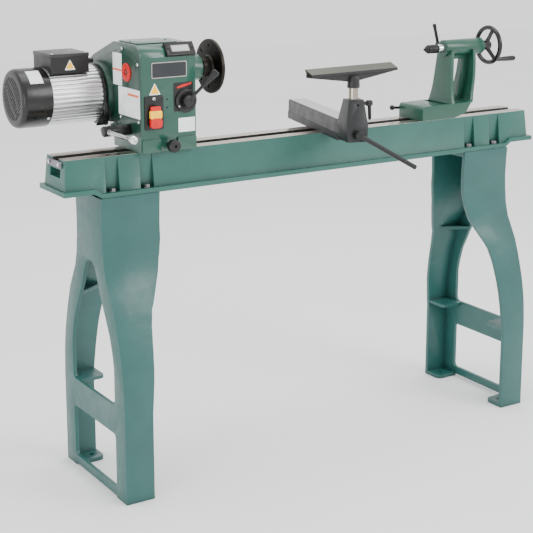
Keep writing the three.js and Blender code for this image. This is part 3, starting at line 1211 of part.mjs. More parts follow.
function tailCasting() {
  const length = TAIL_BASE_LENGTH;
  const base = cut(
    prism('y', [
      [0, GAP],
      [length - 62, GAP],
      [length - 21, 12],
      [length, TAIL_BASE_HEIGHT],
      [length + 8, TAIL_BASE_HEIGHT + 12],
      [length - 14, TAIL_BASE_HEIGHT + 1],
      ...arc([10, TAIL_BASE_HEIGHT - 10], 10, 90, 180, 5),
    ], [-TAIL_SIDE, TAIL_SIDE]),
    block([BARREL_START - 32, BARREL_START - 8], [-TAIL_SIDE + 11, TAIL_SIDE - 11],
      [TAIL_BASE_HEIGHT - 26, TAIL_BASE_HEIGHT + PAST]),
  );
  const key = block([12, length - 80], [-GROOVE_WIDTH / 2 + GAP, GROOVE_WIDTH / 2 - GAP],
    [-SWIVEL_KEY, GAP + 1]);

  // Column: a leaning left wall and a curved right wall, both flaring towards the base, joined by
  // a thin middle web with a tall window.
  const [left, right] = [BARREL_START, BARREL_END - 44];
  const rise = COLUMN_TOP - TAIL_BASE_HEIGHT;
  const foot = TAIL_BASE_HEIGHT - 2;
  const flare = smooth([[33, COLUMN_TOP], [38, COLUMN_TOP - 0.35 * rise], [44, COLUMN_TOP - 0.72 * rise],
    [TAIL_SIDE, TAIL_BASE_HEIGHT - 1]], 8);
  const silhouette = prism('x', [...flare, ...flare.map(([y, z]) => [-y, z]).reverse()],
    [left - 26, BARREL_END - 20]);
  const leftWall = prism('y', [[left - 5, foot], [left - 5 + COLUMN_WALL, foot],
    [left + 7 + COLUMN_WALL, COLUMN_TOP], [left + 7, COLUMN_TOP]], [-TAIL_SIDE, TAIL_SIDE]);
  const curve = smooth([[right, COLUMN_TOP], [right - 1, COLUMN_TOP - 0.3 * rise],
    [right - 8, COLUMN_TOP - 0.65 * rise], [right - 26, foot]], 8);
  const rightWall = prism('y', [...curve, ...curve.map(([x, z]) => [x - COLUMN_WALL, z]).reverse()],
    [-TAIL_SIDE, TAIL_SIDE]);
  const innerCurve = curve.map(([x, z]) => [x - COLUMN_WALL / 2, z]);
  const web = prism('y', [[left, foot], [left + 12, COLUMN_TOP], ...innerCurve], [-6, 6]);
  const [windowTop, windowFoot] = [COLUMN_TOP - 26, TAIL_BASE_HEIGHT + 18];
  const windowSide = smooth([[right - 23, windowTop], [right - 27, COLUMN_TOP - 0.4 * rise],
    [right - 44, windowFoot]], 8);
  const window = prism('y', [[left + 20, windowTop], ...windowSide, [left + 14, windowFoot]], [-20, 20]);
  const column = join(join(leftWall, rightWall).intersect(silhouette), cut(web, window));

  const barrel = bar('x', BARREL_RADIUS, [BARREL_START, BARREL_END], [0, SPINDLE_Z], 20);
  const lockPlace = [QUILL_LOCK_PLACE, SPINDLE_Z + QUILL_LOCK_RISE];
  const lockBoss = bar('y', 10, [0, BARREL_RADIUS + QUILL_LOCK_BOSS], lockPlace, 10);
  const clampPlace = [TAIL_CLAMP_PLACE, TAIL_CLAMP_HEIGHT];
  const eyeRoom = CLAMP_EYE_RADIUS + CLEAR;
  return cut(join(base, key, column, barrel, lockBoss),
    bore('x', QUILL_RADIUS + GAP, [BARREL_START - PAST, BARREL_END - 12], [0, SPINDLE_Z], 20),
    bore('x', SCREW_RADIUS + GAP, [BARREL_END - 20, BARREL_END + PAST], [0, SPINDLE_Z], 10),
    bore('y', QUILL_LOCK_SCREW + GAP, [0, BARREL_RADIUS + QUILL_LOCK_BOSS + PAST], lockPlace, 8),
    bore('y', CLAMP_SHAFT_RADIUS + GAP, [-TAIL_SIDE + 6, TAIL_SIDE + PAST], clampPlace, 10),
    block([TAIL_CLAMP_PLACE - eyeRoom, TAIL_CLAMP_PLACE + eyeRoom],
      [-CLAMP_EYE_RADIUS / 2 - CLEAR, CLAMP_EYE_RADIUS / 2 + CLEAR],
      [-SWIVEL_KEY - PAST, TAIL_CLAMP_HEIGHT + CLAMP_EYE_RADIUS + 2]));
}

function quill() {
  const [start, end] = [QUILL_START, QUILL_START + QUILL_LENGTH];
  return turned('x', [
    [QUILL_BORE + 1, start],
    [QUILL_RADIUS - 1, start],
    [QUILL_RADIUS, start + 1],
    [QUILL_RADIUS, end],
    [SCREW_RADIUS + GAP, end],
    [SCREW_RADIUS + GAP, start + CENTRE_SHANK_LENGTH + 5],
    [QUILL_BORE, start + CENTRE_SHANK_LENGTH + 5],
    [QUILL_BORE + 1, start],
  ], [0, SPINDLE_Z], 16);
}

function liveCentre() {
  const face = QUILL_START - GAP;
  const shank = face + CENTRE_SHANK_LENGTH;
  const nose = face - CENTRE_BODY_LENGTH;
  return turned('x', [
    [0, nose - CENTRE_POINT_LENGTH],
    [7, nose - 5],
    [9, nose - 5],
    [9, nose],
    [QUILL_RADIUS - 2, nose],
    [QUILL_RADIUS, nose + 2],
    [QUILL_RADIUS, nose + 13],
    [QUILL_RADIUS - 1.5, nose + 14],
    [QUILL_RADIUS - 1.5, nose + 18],
    [QUILL_RADIUS, nose + 19],
    [QUILL_RADIUS, face],
    [QUILL_BORE + 1 - GAP, face],
    [QUILL_BORE - GAP, shank],
    [0, shank],
  ], [0, SPINDLE_Z], 16);
}

function handwheel() {
  const rimRadius = WHEEL_RADIUS - WHEEL_TUBE;
  const rim = new THREE.TorusGeometry(rimRadius, WHEEL_TUBE, 6, 20);
  rim.rotateY(Math.PI / 2).translate(WHEEL_PLANE, 0, SPINDLE_Z);
  const start = BARREL_END + GAP;
  const hub = turned('x', [[SCREW_RADIUS + GAP, start], [WHEEL_HUB_RADIUS + 3, start],
    [WHEEL_HUB_RADIUS + 3, start + 8], [WHEEL_HUB_RADIUS, start + 12], [WHEEL_HUB_RADIUS, WHEEL_PLANE],
    [WHEEL_HUB_RADIUS - 3, WHEEL_PLANE + 4], [SCREW_RADIUS + GAP, WHEEL_PLANE + 4],
    [SCREW_RADIUS + GAP, start]], [0, SPINDLE_Z], 12);
  let wheel = join(solid(rim), hub);
  for (let i = 0; i < SPOKES; i += 1) {
    const angle = HANDLE_ANGLE + (360 / SPOKES) * i;
    const [[y0, z0]] = arc([0, SPINDLE_Z], WHEEL_HUB_RADIUS - 4, angle, angle, 1);
    const [[y1, z1]] = arc([0, SPINDLE_Z], rimRadius, angle, angle, 1);
    const [inner, outer] = [[WHEEL_PLANE - 10, y0, z0], [WHEEL_PLANE, y1, z1]];
    wheel = join(wheel, rod(inner, outer, SPOKE_RADIUS + 0.5, 8, SPOKE_RADIUS - 0.5));
  }
  const [[y, z]] = arc([0, SPINDLE_Z], rimRadius, HANDLE_ANGLE, HANDLE_ANGLE, 1);
  return cut(wheel, bore('x', 4 + GAP, [WHEEL_PLANE - 2, WHEEL_PLANE + 20], [y, z], 8));
}

function wheelHandle() {
  const [[y, z]] = arc([0, SPINDLE_Z], WHEEL_RADIUS - WHEEL_TUBE, HANDLE_ANGLE, HANDLE_ANGLE, 1);
  const start = WHEEL_PLANE + WHEEL_TUBE + 2;
  const end = start + GRIP_LENGTH;
  return turned('x', [[0, WHEEL_PLANE - 1], [4, WHEEL_PLANE - 1], [4, start], [GRIP_RADIUS - 2, start],
    [GRIP_RADIUS - 1.5, start + 12], [GRIP_RADIUS, end - 20], [GRIP_RADIUS, end - 3],
    [GRIP_RADIUS - 3, end], [0, end]], [y, z], 10);
}

function leadscrew() {
  const start = QUILL_START + CENTRE_SHANK_LENGTH + 24;
  return bar('x', SCREW_RADIUS, [start, WHEEL_PLANE + 6], [0, SPINDLE_Z], 10);
}

function quillLock() {
  const z = SPINDLE_Z + QUILL_LOCK_RISE;
  const face = BARREL_RADIUS + QUILL_LOCK_BOSS + GAP;
  return join(
    bar('y', QUILL_LOCK_SCREW, [QUILL_RADIUS + 2, face + 1], [QUILL_LOCK_PLACE, z], 8),
    bar('y', 8, [face, face + 16], [QUILL_LOCK_PLACE, z], 8, 7),
    rod([QUILL_LOCK_PLACE, face + 8, z], [QUILL_LOCK_PLACE - 16, face + 10, z + 64], 6.5, 8, 5),
  );
}

function tailClamp() {
  const place = [TAIL_CLAMP_PLACE, TAIL_CLAMP_HEIGHT];
  const out = TAIL_SIDE + 3;
  const ball = new THREE.SphereGeometry(8, 10, 6);
  const tip = [TAIL_CLAMP_PLACE - 76, out + 8, TAIL_CLAMP_HEIGHT + 6];
  return join(
    bar('y', CLAMP_SHAFT_RADIUS, [-TAIL_SIDE + 8, out + 2], place, 10),
    bar('y', CLAMP_SHAFT_RADIUS + 4, [out, out + 16], place, 10),
    rod([TAIL_CLAMP_PLACE, out + 8, TAIL_CLAMP_HEIGHT], tip, 5, 8, 4),
    solid(ball.translate(...tip)),
  );
}

// ---------------------------------------------------------------- assembly

const lathe = new THREE.Group();

part(lathe, 'bed_casting', GREEN_PAINT, bedCasting());
part(lathe, 'left_leg', GREEN_PAINT, leftLeg());
part(lathe, 'right_leg', GREEN_PAINT, mirrored(leftLeg()));
part(lathe, 'left_stop_plate', DARK_IRON, stopPlate(0, -1));
part(lathe, 'right_stop_plate', DARK_IRON, stopPlate(BED_LENGTH, 1));
BOLT_PLACES.forEach((x, row) => {
  for (const [front, y] of [['front', -BOLT_LINE], ['back', BOLT_LINE]]) {
    part(lathe, `left_leg_bolt_${front}_${row + 1}`, CHROME, legBolt(x, y));
    part(lathe, `right_leg_bolt_${front}_${row + 1}`, CHROME, legBolt(BED_LENGTH - x, y));
  }
});

const headstock = new THREE.Group();
headstock.position.set(HEAD_PLACE, 0, BED_TOP);
lathe.add(headstock);
part(headstock, 'headstock_casting', GREEN_PAINT, headCasting());
part(headstock, 'pulley_cover', GREEN_PAINT, pulleyCover());
part(headstock, 'top_cover', GREEN_PAINT, topCover());
part(headstock, 'swivel_base', DARK_IRON, swivelBase());
part(headstock, 'headstock_clamp_bolt', STEEL,
  clampBolt(LOCK_FRONT, LOCK_HEIGHT, LOCK_SHAFT_RADIUS, 'x'));
part(headstock, 'headstock_clamp_plate', DARK_IRON, clampPlate());
part(headstock, 'headstock_lock_shaft', BLACK_IRON, lockShaft());
part(headstock, 'headstock_lock_lever', CHROME, lockLever());
part(headstock, 'index_plunger', BLACK_PLASTIC, indexPlunger());
part(headstock, 'spindle', STEEL, spindle());
part(headstock, 'rear_bearing', STEEL, bearing(SEAT_WEB_PLACE));
part(headstock, 'front_bearing', STEEL, bearing(FRONT_BEARING));
part(headstock, 'spindle_pulley', ALUMINIUM,
  pulley(SPINDLE_PULLEY_RADIUS, SPINDLE_RADIUS - SPINDLE_STEP + GAP, [0, SPINDLE_Z]));
part(headstock, 'motor_pulley', ALUMINIUM,
  pulley(MOTOR_PULLEY_RADIUS, MOTOR_SHAFT_RADIUS + GAP, MOTOR_AXIS));
part(headstock, 'drive_belt', RUBBER, driveBelt());
part(headstock, 'faceplate', DARK_IRON, faceplate());
part(headstock, 'spindle_end_ring', RED_PLASTIC, endRing());
part(headstock, 'motor_housing', ALUMINIUM, tube(MOTOR_RADIUS - 1, MOTOR_RADIUS - MOTOR_SHELL,
  [MOTOR_END, MOTOR_START], MOTOR_AXIS));
part(headstock, 'motor_stator', COPPER, tube(MOTOR_RADIUS - MOTOR_SHELL - GAP, ROTOR_RADIUS + 1,
  [MOTOR_END + 22, MOTOR_START - 22], MOTOR_AXIS));
part(headstock, 'motor_end_bell', BLACK_IRON, endBell());
part(headstock, 'motor_rotor', STEEL, motorRotor());
part(headstock, 'cooling_fan', BLACK_PLASTIC, coolingFan());
part(headstock, 'fan_cover', BLACK_IRON, fanCover());
part(headstock, 'junction_box', BLACK_PLASTIC, junctionBox());
part(headstock, 'junction_box_lid', BLACK_PLASTIC, junctionLid());
part(headstock, 'switch_housing', BLACK_PLASTIC, switchHousing());
part(headstock, 'switch_paddle', RED_PLASTIC, switchPaddle());
part(headstock, 'speed_bezel', BLACK_PLASTIC, speedBezel());
part(headstock, 'speed_lever', BLACK_PLASTIC, speedLever());
part(headstock, 'readout_housing', BLACK_PLASTIC, readoutHousing());

const banjo = new THREE.Group();
banjo.position.set(BANJO_PLACE, 0, BED_TOP);
banjo.rotation.z = THREE.MathUtils.degToRad(-BANJO_ANGLE);
lathe.add(banjo);
part(banjo, 'banjo_casting', DARK_IRON, banjoCasting());
part(banjo, 'banjo_clamp_bar', BLACK_IRON, clampBar());
part(banjo, 'banjo_clamp_bolt', STEEL, clampBolt(0, CLAMP_SHAFT_HEIGHT, CLAMP_SHAFT_RADIUS, 'y'));
part(banjo, 'post_lock_handle', BLACK_IRON, postLock());

const rest = new THREE.Group();
rest.position.set(0, -POST_PLACE, 0);
rest.rotation.z = THREE.MathUtils.degToRad(REST_TURN);
banjo.add(rest);
part(rest, 'tool_rest_post', STEEL, restPost());
part(rest, 'tool_rest', DARK_IRON, toolRest());

const banjoSaddle = new THREE.Group();
banjoSaddle.position.set(BANJO_PLACE, 0, BED_TOP);
lathe.add(banjoSaddle);
part(banjoSaddle, 'banjo_clamp_plate', DARK_IRON, clampPlate());

const tailstock = new THREE.Group();
tailstock.position.set(TAIL_X, 0, BED_TOP);
lathe.add(tailstock);
part(tailstock, 'tailstock_casting', GREEN_PAINT, tailCasting());
part(tailstock, 'quill', STEEL, quill());
part(tailstock, 'live_centre', DARK_IRON, liveCentre());
part(tailstock, 'handwheel', BLACK_IRON, handwheel());
part(tailstock, 'handwheel_handle', BLACK_IRON, wheelHandle());
part(tailstock, 'leadscrew', STEEL, leadscrew());
part(tailstock, 'quill_lock_lever', BLACK_IRON, quillLock());
part(tailstock, 'tailstock_clamp_lever', BLACK_IRON, tailClamp());

const tailClampGroup = new THREE.Group();
tailClampGroup.position.set(TAIL_CLAMP_PLACE, 0, 0);
tailstock.add(tailClampGroup);
part(tailClampGroup, 'tailstock_clamp_bolt', STEEL,
  clampBolt(0, TAIL_CLAMP_HEIGHT, CLAMP_SHAFT_RADIUS, 'y'));
part(tailClampGroup, 'tailstock_clamp_plate', DARK_IRON, clampPlate());

// The origin is the middle of the footprint, on the floor.
lathe.updateMatrixWorld(true);
const bounds = new THREE.Box3().setFromObject(lathe);
lathe.position.set(-(bounds.min.x + bounds.max.x) / 2, -(bounds.min.y + bounds.max.y) / 2, -bounds.min.z);

export default lathe;
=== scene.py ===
"""Looks of a wood-turning lathe on two cast legs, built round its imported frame. Metres, +Z up."""

import json
import math

import bmesh
import bpy
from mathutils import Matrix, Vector


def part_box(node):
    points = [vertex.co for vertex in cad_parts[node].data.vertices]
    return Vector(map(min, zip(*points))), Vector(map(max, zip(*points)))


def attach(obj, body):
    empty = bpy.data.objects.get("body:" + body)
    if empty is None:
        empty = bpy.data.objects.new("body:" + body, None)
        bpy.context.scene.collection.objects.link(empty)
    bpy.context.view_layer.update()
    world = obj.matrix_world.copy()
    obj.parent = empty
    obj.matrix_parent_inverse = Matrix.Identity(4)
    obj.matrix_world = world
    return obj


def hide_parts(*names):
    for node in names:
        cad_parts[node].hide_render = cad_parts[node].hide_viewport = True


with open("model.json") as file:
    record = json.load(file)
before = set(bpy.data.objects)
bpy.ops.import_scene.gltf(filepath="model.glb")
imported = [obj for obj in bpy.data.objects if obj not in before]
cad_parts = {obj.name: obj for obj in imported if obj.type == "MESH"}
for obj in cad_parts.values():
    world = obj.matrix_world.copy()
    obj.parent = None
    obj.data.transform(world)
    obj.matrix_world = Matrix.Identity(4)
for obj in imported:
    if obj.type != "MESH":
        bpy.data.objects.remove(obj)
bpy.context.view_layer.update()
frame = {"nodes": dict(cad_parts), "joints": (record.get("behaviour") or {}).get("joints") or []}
JOINTS = {joint["name"]: joint for joint in frame["joints"]}
MM = 0.001
X, Y, Z = Vector((1, 0, 0)), Vector((0, 1, 0)), Vector((0, 0, 1))


class Box:
    """The box of a CAD node, or of several, at rest."""

    def __init__(self, *names):
        found = [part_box(name) for name in names]
        self.lo = Vector(min(low[i] for low, _ in found) for i in range(3))
        self.hi = Vector(max(high[i] for _, high in found) for i in range(3))
        self.mid = (self.lo + self.hi) / 2
        self.size = self.hi - self.lo


def pivot(joint):
    return Vector(JOINTS[joint]["pos_m"])


def direction(joint):
    return Vector(JOINTS[joint]["axis"])


# ---------------------------------------------------------------- places

BED = Box("bed_casting")
FLANGE_REACH = 14 * MM
ORIGIN = Vector((BED.lo.x + FLANGE_REACH, BED.mid.y, 0))
WAY_TOP = BED.hi.z
SPINDLE = pivot("spindle_spin")
MOTOR = pivot("motor_spin")
HEAD_FACE = Box("speed_bezel").hi.y + 0.3 * MM
COVER_FACE = Box("pulley_cover").hi.x - 4 * MM


def spot(x, z, out=0.0):
    """A point on the headstock's front, in millimetres right of the swivel axis and above the spindle."""
    return Vector((SPINDLE.x + x * MM, HEAD_FACE - out * MM, SPINDLE.z + z * MM))


def side_spot(y, z, out=0.0):
    """A point on the left cover, in millimetres behind and above the spindle axis."""
    return Vector((COVER_FACE - out * MM, SPINDLE.y + y * MM, SPINDLE.z + z * MM))


def on_spindle(x):
    return Vector((x, SPINDLE.y, SPINDLE.z))


def on_motor(x):
    return Vector((x, MOTOR.y, MOTOR.z))


# ---------------------------------------------------------------- camera, light and floor

def camera():
    """The photograph's viewpoint: left of the machine, a little above it, looking slightly down."""
    lens = bpy.data.cameras.new("camera")
    lens.lens = 91.25
    lens.sensor_width = 36
    lens.shift_y = -0.1248
    lens.clip_end = 60
    eye = bpy.data.objects.new("camera", lens)
    bpy.context.scene.collection.objects.link(eye)
    eye.location = ORIGIN + Vector((-1.3486, -3.1355, 1.5537))
    turn, dip = math.radians(32.299), math.radians(12.725)
    way = Vector((math.sin(turn) * math.cos(dip), math.cos(turn) * math.cos(dip), -math.sin(dip)))
    eye.rotation_mode = "QUATERNION"
    eye.rotation_quaternion = way.to_track_quat("-Z", "Y")
    bpy.context.scene.camera = eye


def softbox(name, place, target, size, power):
    light = bpy.data.lights.new(name, "AREA")
    light.shape = "RECTANGLE"
    light.size, light.size_y = size
    light.energy = power
    lamp = bpy.data.objects.new(name, light)
    bpy.context.scene.collection.objects.link(lamp)
    lamp.location = place
    lamp.rotation_mode = "QUATERNION"
    lamp.rotation_quaternion = (Vector(target) - Vector(place)).to_track_quat("-Z", "Y")


def studio():
    world = bpy.context.scene.world or bpy.data.worlds.new("studio")
    bpy.context.scene.world = world
    world.use_nodes = True
    backing = world.node_tree.nodes["Background"]
    backing.inputs["Color"].default_value = (1, 1, 1, 1)
    backing.inputs["Strength"].default_value = 1.45
    softbox("key", (2.2, -3.6, 3.0), (0.1, 0, 0.8), (2.6, 2.0), 110)
    softbox("overhead", (0, 0.3, 3.6), (0, 0, 0.9), (3.4, 2.0), 60)
    softbox("left_fill", (-3.4, -1.6, 0.9), (-0.5, 0, 0.4), (1.4, 1.4), 26)
    bm = bmesh.new()
    bmesh.ops.create_grid(bm, x_segments=8, y_segments=8, size=9)
    floor = bpy.data.objects.new("floor", mesh_of("floor", bm))
    bpy.context.scene.collection.objects.link(floor)
    floor.data.materials.append(FLOOR)


# ---------------------------------------------------------------- materials

def mm(*pairs):
    """Pairs of lengths given in millimetres."""
    return [(first * MM, second * MM) for first, second in pairs]


def rgb(red, green, blue):
    """A linear colour from one written as it shows, 0 to 255."""
    shown = [value / 255 for value in (red, green, blue)]
    return tuple(value / 12.92 if value < 0.04 else ((value + 0.055) / 1.055) ** 2.4 for value in shown)


class Look:
    """A procedural material on one Principled shader, laid out in the frame's own coordinates."""

    def __init__(self, name, color, roughness, metallic=0.0, coat=0.0):
        self.material = bpy.data.materials.new(name)
        self.material.use_nodes = True
        self.tree = self.material.node_tree
        self.shader = self.tree.nodes["Principled BSDF"]
        self.shader.inputs["Metallic"].default_value = metallic
        self.shader.inputs["Coat Weight"].default_value = coat
        self.shader.inputs["Coat Roughness"].default_value = 0.12
        self.place = self.node("ShaderNodeTexCoord").outputs["Object"]
        self.color = self.constant(color)
        self.roughness = roughness
        self.height = None

    def node(self, kind, **values):
        made = self.tree.nodes.new(kind)
        for name, value in values.items():
            setattr(made, name, value)
        return made

    def link(self, source, target):
        self.tree.links.new(source, target)

    def constant(self, color):
        made = self.node("ShaderNodeRGB")
        made.outputs[0].default_value = (*color, 1)
        return made.outputs[0]

    def mix(self, factor, first, second, blend="MIX"):
        made = self.node("ShaderNodeMix", data_type="RGBA", blend_type=blend)
        for socket, value in ((made.inputs[0], factor), (made.inputs[6], first), (made.inputs[7], second)):
            if hasattr(value, "is_linked"):
                self.link(value, socket)
            elif isinstance(value, tuple):
                socket.default_value = (*value, 1)
            else:
                socket.default_value = value
        return made.outputs[2]

    def math(self, operation, first, second=0.0):
        made = self.node("ShaderNodeMath", operation=operation)
        for socket, value in zip(made.inputs, (first, second)):
            if hasattr(value, "is_linked"):
                self.link(value, socket)
            else:
                socket.default_value = value
        return made.outputs[0]

    def noise(self, size, detail=4.0, stretch=(1, 1, 1), roughness=0.55):
        """Noise whose features are about size metres, drawn out along an axis by stretch."""
        mapping = self.node("ShaderNodeMapping")
        mapping.inputs["Scale"].default_value = [1 / (size * value) for value in stretch]
        self.link(self.place, mapping.inputs["Vector"])
        made = self.node("ShaderNodeTexNoise")
        made.inputs["Scale"].default_value = 1
        made.inputs["Detail"].default_value = detail
        made.inputs["Roughness"].default_value = roughness
        self.link(mapping.outputs[0], made.inputs["Vector"])
        return made.outputs["Fac"]

    def ramp(self, source, low, high, dark=0.0, light=1.0):
        made = self.node("ShaderNodeMapRange")
        made.inputs["From Min"].default_value = low
        made.inputs["From Max"].default_value = high
        made.inputs["To Min"].default_value = dark
        made.inputs["To Max"].default_value = light
        self.link(source, made.inputs["Value"])
        return made.outputs["Result"]

    def patches(self, other, size, amount=1.0):
        """Slow changes of colour towards another."""
        self.color = self.mix(self.ramp(self.noise(size, 5), 0.4, 0.68, 0.0, amount), self.color, other)
        return self

    def specks(self, other, size, amount=0.6):
        self.color = self.mix(self.ramp(self.noise(size, 2), 0.62, 0.7, 0.0, amount), self.color, other)
        return self

    def painted_corner_shade(self, other, reach, amount=0.7):
        """Painted shade: darker where surfaces meet and in pockets, found by ambient occlusion, standing
        in for the shade that falls there.
        """
        near = self.node("ShaderNodeAmbientOcclusion", samples=6)
        near.inputs["Distance"].default_value = reach
        shade_in_corners = self.ramp(near.outputs["AO"], 0.35, 0.9, amount, 0.0)
        self.color = self.mix(shade_in_corners, self.color, other)
        return self

    def worn_edges(self, other, radius, amount=0.8):
        """Another colour on outer edges, found from a rounded normal and broken up by noise."""
        rounded = self.node("ShaderNodeBevel", samples=4)
        rounded.inputs["Radius"].default_value = radius
        true = self.node("ShaderNodeNewGeometry").outputs["True Normal"]
        dot = self.node("ShaderNodeVectorMath", operation="DOT_PRODUCT")
        self.link(rounded.outputs[0], dot.inputs[0])
        self.link(true, dot.inputs[1])
        edge = self.ramp(dot.outputs["Value"], 0.97, 0.8)
        broken = self.math("MULTIPLY", edge, self.ramp(self.noise(6 * MM, 5), 0.4, 0.6, 0.1, amount))
        self.color = self.mix(broken, self.color, other)
        return self

    def bumps(self, size, height, stretch=(1, 1, 1), detail=3.0):
        source = self.math("MULTIPLY", self.noise(size, detail, stretch), height)
        self.height = source if self.height is None else self.math("ADD", self.height, source)
        return self

    def where(self, axis, low, high):
        """1 where the coordinate is between two values, in metres."""
        parts = self.node("ShaderNodeSeparateXYZ")
        self.link(self.place, parts.inputs[0])
        above = self.math("GREATER_THAN", parts.outputs[axis], low)
        below = self.math("LESS_THAN", parts.outputs[axis], high)
        return self.math("MULTIPLY", above, below)

    def facing(self, way, low, high):
        """Rises from 0 to 1 as the surface turns to face a direction of the piece."""
        dot = self.node("ShaderNodeVectorMath", operation="DOT_PRODUCT")
        self.link(self.node("ShaderNodeTexCoord").outputs["Normal"], dot.inputs[0])
        dot.inputs[1].default_value = way
        return self.ramp(dot.outputs["Value"], low, high)

    def area(self, mask, color, roughness, metallic):
        """Another finish on part of the piece."""
        self.color = self.mix(mask, self.color, color)
        shine = self.math("MULTIPLY", mask, metallic)
        self.link(shine, self.shader.inputs["Metallic"])
        self.rough_mask = (mask, roughness)
        return self

    def done(self, vary=0.06, vary_size=30 * MM):
        self.link(self.color, self.shader.inputs["Base Color"])
        rough = self.ramp(self.noise(vary_size, 4), 0.3, 0.7, self.roughness - vary,
            self.roughness + vary)
        if hasattr(self, "rough_mask"):
            mask, other = self.rough_mask
            keep = self.math("SUBTRACT", 1.0, mask)
            rough = self.math("ADD", self.math("MULTIPLY", rough, keep),
                self.math("MULTIPLY", mask, other))
        self.link(rough, self.shader.inputs["Roughness"])
        if self.height is not None:
            bump = self.node("ShaderNodeBump")
            bump.inputs["Strength"].default_value = 1
            bump.inputs["Distance"].default_value = 1
            self.link(self.height, bump.inputs["Height"])
            self.link(bump.outputs[0], self.shader.inputs["Normal"])
        return self.material


def enamel(name, color, coat=0.12, roughness=0.42):
    """Brushed-on enamel over a sand casting: orange peel, soft lumps, painted shade in the corners, paler
    edges.
    """
    paler = tuple(min(1.0, 1.5 * value + 0.02) for value in color)
    look = Look(name, color, roughness, coat=coat)
    look.patches(tuple(0.82 * value for value in color), 90 * MM, 0.8).patches(paler, 260 * MM, 0.18)
    # Painted shade: corners and pockets darkened towards 0.45 of the paint colour.
    look.painted_corner_shade(tuple(0.45 * value for value in color), 22 * MM, 0.85).worn_edges(paler, 1.6 * MM, 0.5)
    return look.bumps(3.2 * MM, 0.22 * MM).bumps(14 * MM, 0.6 * MM)


def cast_iron(name, color, roughness=0.45, metallic=0.4):
    look = Look(name, color, roughness, metallic=metallic)
    look.patches(tuple(0.6 * value for value in color), 50 * MM, 0.9)
    look.specks(tuple(1.7 * value for value in color), 3 * MM, 0.5)
    look.worn_edges(tuple(2.6 * value + 0.03 for value in color), 1.2 * MM, 0.6)
    return look.bumps(2.2 * MM, 0.22 * MM).bumps(9 * MM, 0.4 * MM)


def turned_metal(name, color, roughness, stretch=(1, 12, 12), mark=0.02):
    """Metal with fine tool marks round a turned piece's axis."""
    look = Look(name, color, roughness, metallic=1.0)
    look.patches(tuple(0.86 * value for value in color), 25 * MM, 0.8)
    return look.bumps(0.7 * MM, mark * MM, stretch)


def moulded(name, color, roughness=0.42, grain=0.05):
    look = Look(name, color, roughness)
    look.patches(tuple(1.4 * value + 0.002 for value in color), 40 * MM, 0.6)
    look.worn_edges(tuple(2.2 * value + 0.02 for value in color), 0.9 * MM, 0.4)
    return look.bumps(1.1 * MM, grain * MM)


TEAL = rgb(32, 90, 80)
GREEN = rgb(12, 74, 58)
DARK = rgb(34, 36, 36)
BANJO_TOP_RISE = 31 * MM  # the ground top of the banjo's arm, above its clamp bar
WAY_STEEL = rgb(205, 196, 184)


def bed_look():
    """Painted bed whose two ways are ground bright and whose groove is bare iron darkened to near black,
    partly as painted shade for the unlit slot.
    """
    look = enamel("bed_paint", TEAL)
    ground = look.where(2, WAY_TOP - 0.4 * MM, WAY_TOP + MM)
    look.color = look.mix(ground, look.color,
        look.mix(look.ramp(look.noise(3 * MM, 4, (60, 1, 1)), 0.3, 0.7), WAY_STEEL, rgb(160, 150, 140)))
    look.area(ground, look.color, 0.24, 1.0)
    half = 18.4 * MM
    # The groove: bare iron, made near black as painted shade for the slot's unlit walls.
    groove_iron_and_shade = look.math("MULTIPLY", look.where(1, ORIGIN.y - half, ORIGIN.y + half),
                       look.where(2, WAY_TOP - 23 * MM, WAY_TOP - 0.4 * MM))
    look.color = look.mix(groove_iron_and_shade, look.color, rgb(38, 36, 33))
    return look.done()


def banjo_look():
    look = cast_iron("banjo_iron", rgb(19, 21, 23), 0.4, 0.3)
    height = pivot("banjo_clamp_turn").z + BANJO_TOP_RISE
    ground = look.math("MULTIPLY", look.where(2, height - 0.35 * MM, height + 0.35 * MM),
        look.facing(Z, 0.9, 0.98))
    look.area(ground, rgb(196, 198, 198), 0.3, 0.9)
    return look.done()


def rest_look():
    """Dark casting whose upper faces are filed to a dull grey."""
    look = cast_iron("tool_rest_iron", rgb(20, 21, 22), 0.4, 0.3)
    filed = look.facing(Z, 0.25, 0.7)
    return look.area(filed, rgb(82, 83, 73), 0.36, 0.6).done()


FLOOR = Look("floor_paper", rgb(250, 250, 250), 0.8).patches(rgb(244, 244, 244), 1.2, 0.6).done()
BED_PAINT = bed_look()
LEG_PAINT = enamel("leg_paint", rgb(30, 84, 80)).done()
HEAD_PAINT = enamel("headstock_paint", GREEN, 0.5, 0.34).done()
# A darker copy of the headstock green: painted shade for the headstock's left side.
COVER_PAINT_SHADED = enamel("cover_paint_shaded", rgb(12, 58, 44), 0.4, 0.36).done()
# The headstock green made a little darker overall, as painted shade for the tailstock's darker left faces.
TAIL_PAINT_SHADED = enamel("tailstock_paint_shaded", rgb(12, 72, 55), 0.3, 0.36).done()
BANJO_IRON = banjo_look()
IRON = cast_iron("dark_iron", DARK).done()
REST_IRON = rest_look()
BOLT_ZINC = turned_metal("bolt_zinc", rgb(128, 128, 130), 0.3, mark=0.004).done(0.04)
ZINC = turned_metal("zinc_plate", rgb(146, 142, 150), 0.36, (1, 6, 6), 0.01).done()
BOX_LID = moulded("box_lid", rgb(40, 40, 40), 0.36, 0.03).done()
PLATE_IRON = turned_metal("faceplate_iron", rgb(50, 47, 44), 0.36, (12, 1, 1), 0.03).done()
STEEL = turned_metal("ground_steel", rgb(196, 192, 184), 0.22).done()
POST_STEEL = turned_metal("post_steel", rgb(178, 170, 158), 0.2, (12, 12, 1)).done()
CHROME = turned_metal("chrome", rgb(226, 228, 230), 0.08, mark=0.004).done(0.03)
ALUMINIUM = turned_metal("motor_aluminium", rgb(226, 227, 228), 0.3, (30, 3, 3), 0.006).done(0.03)
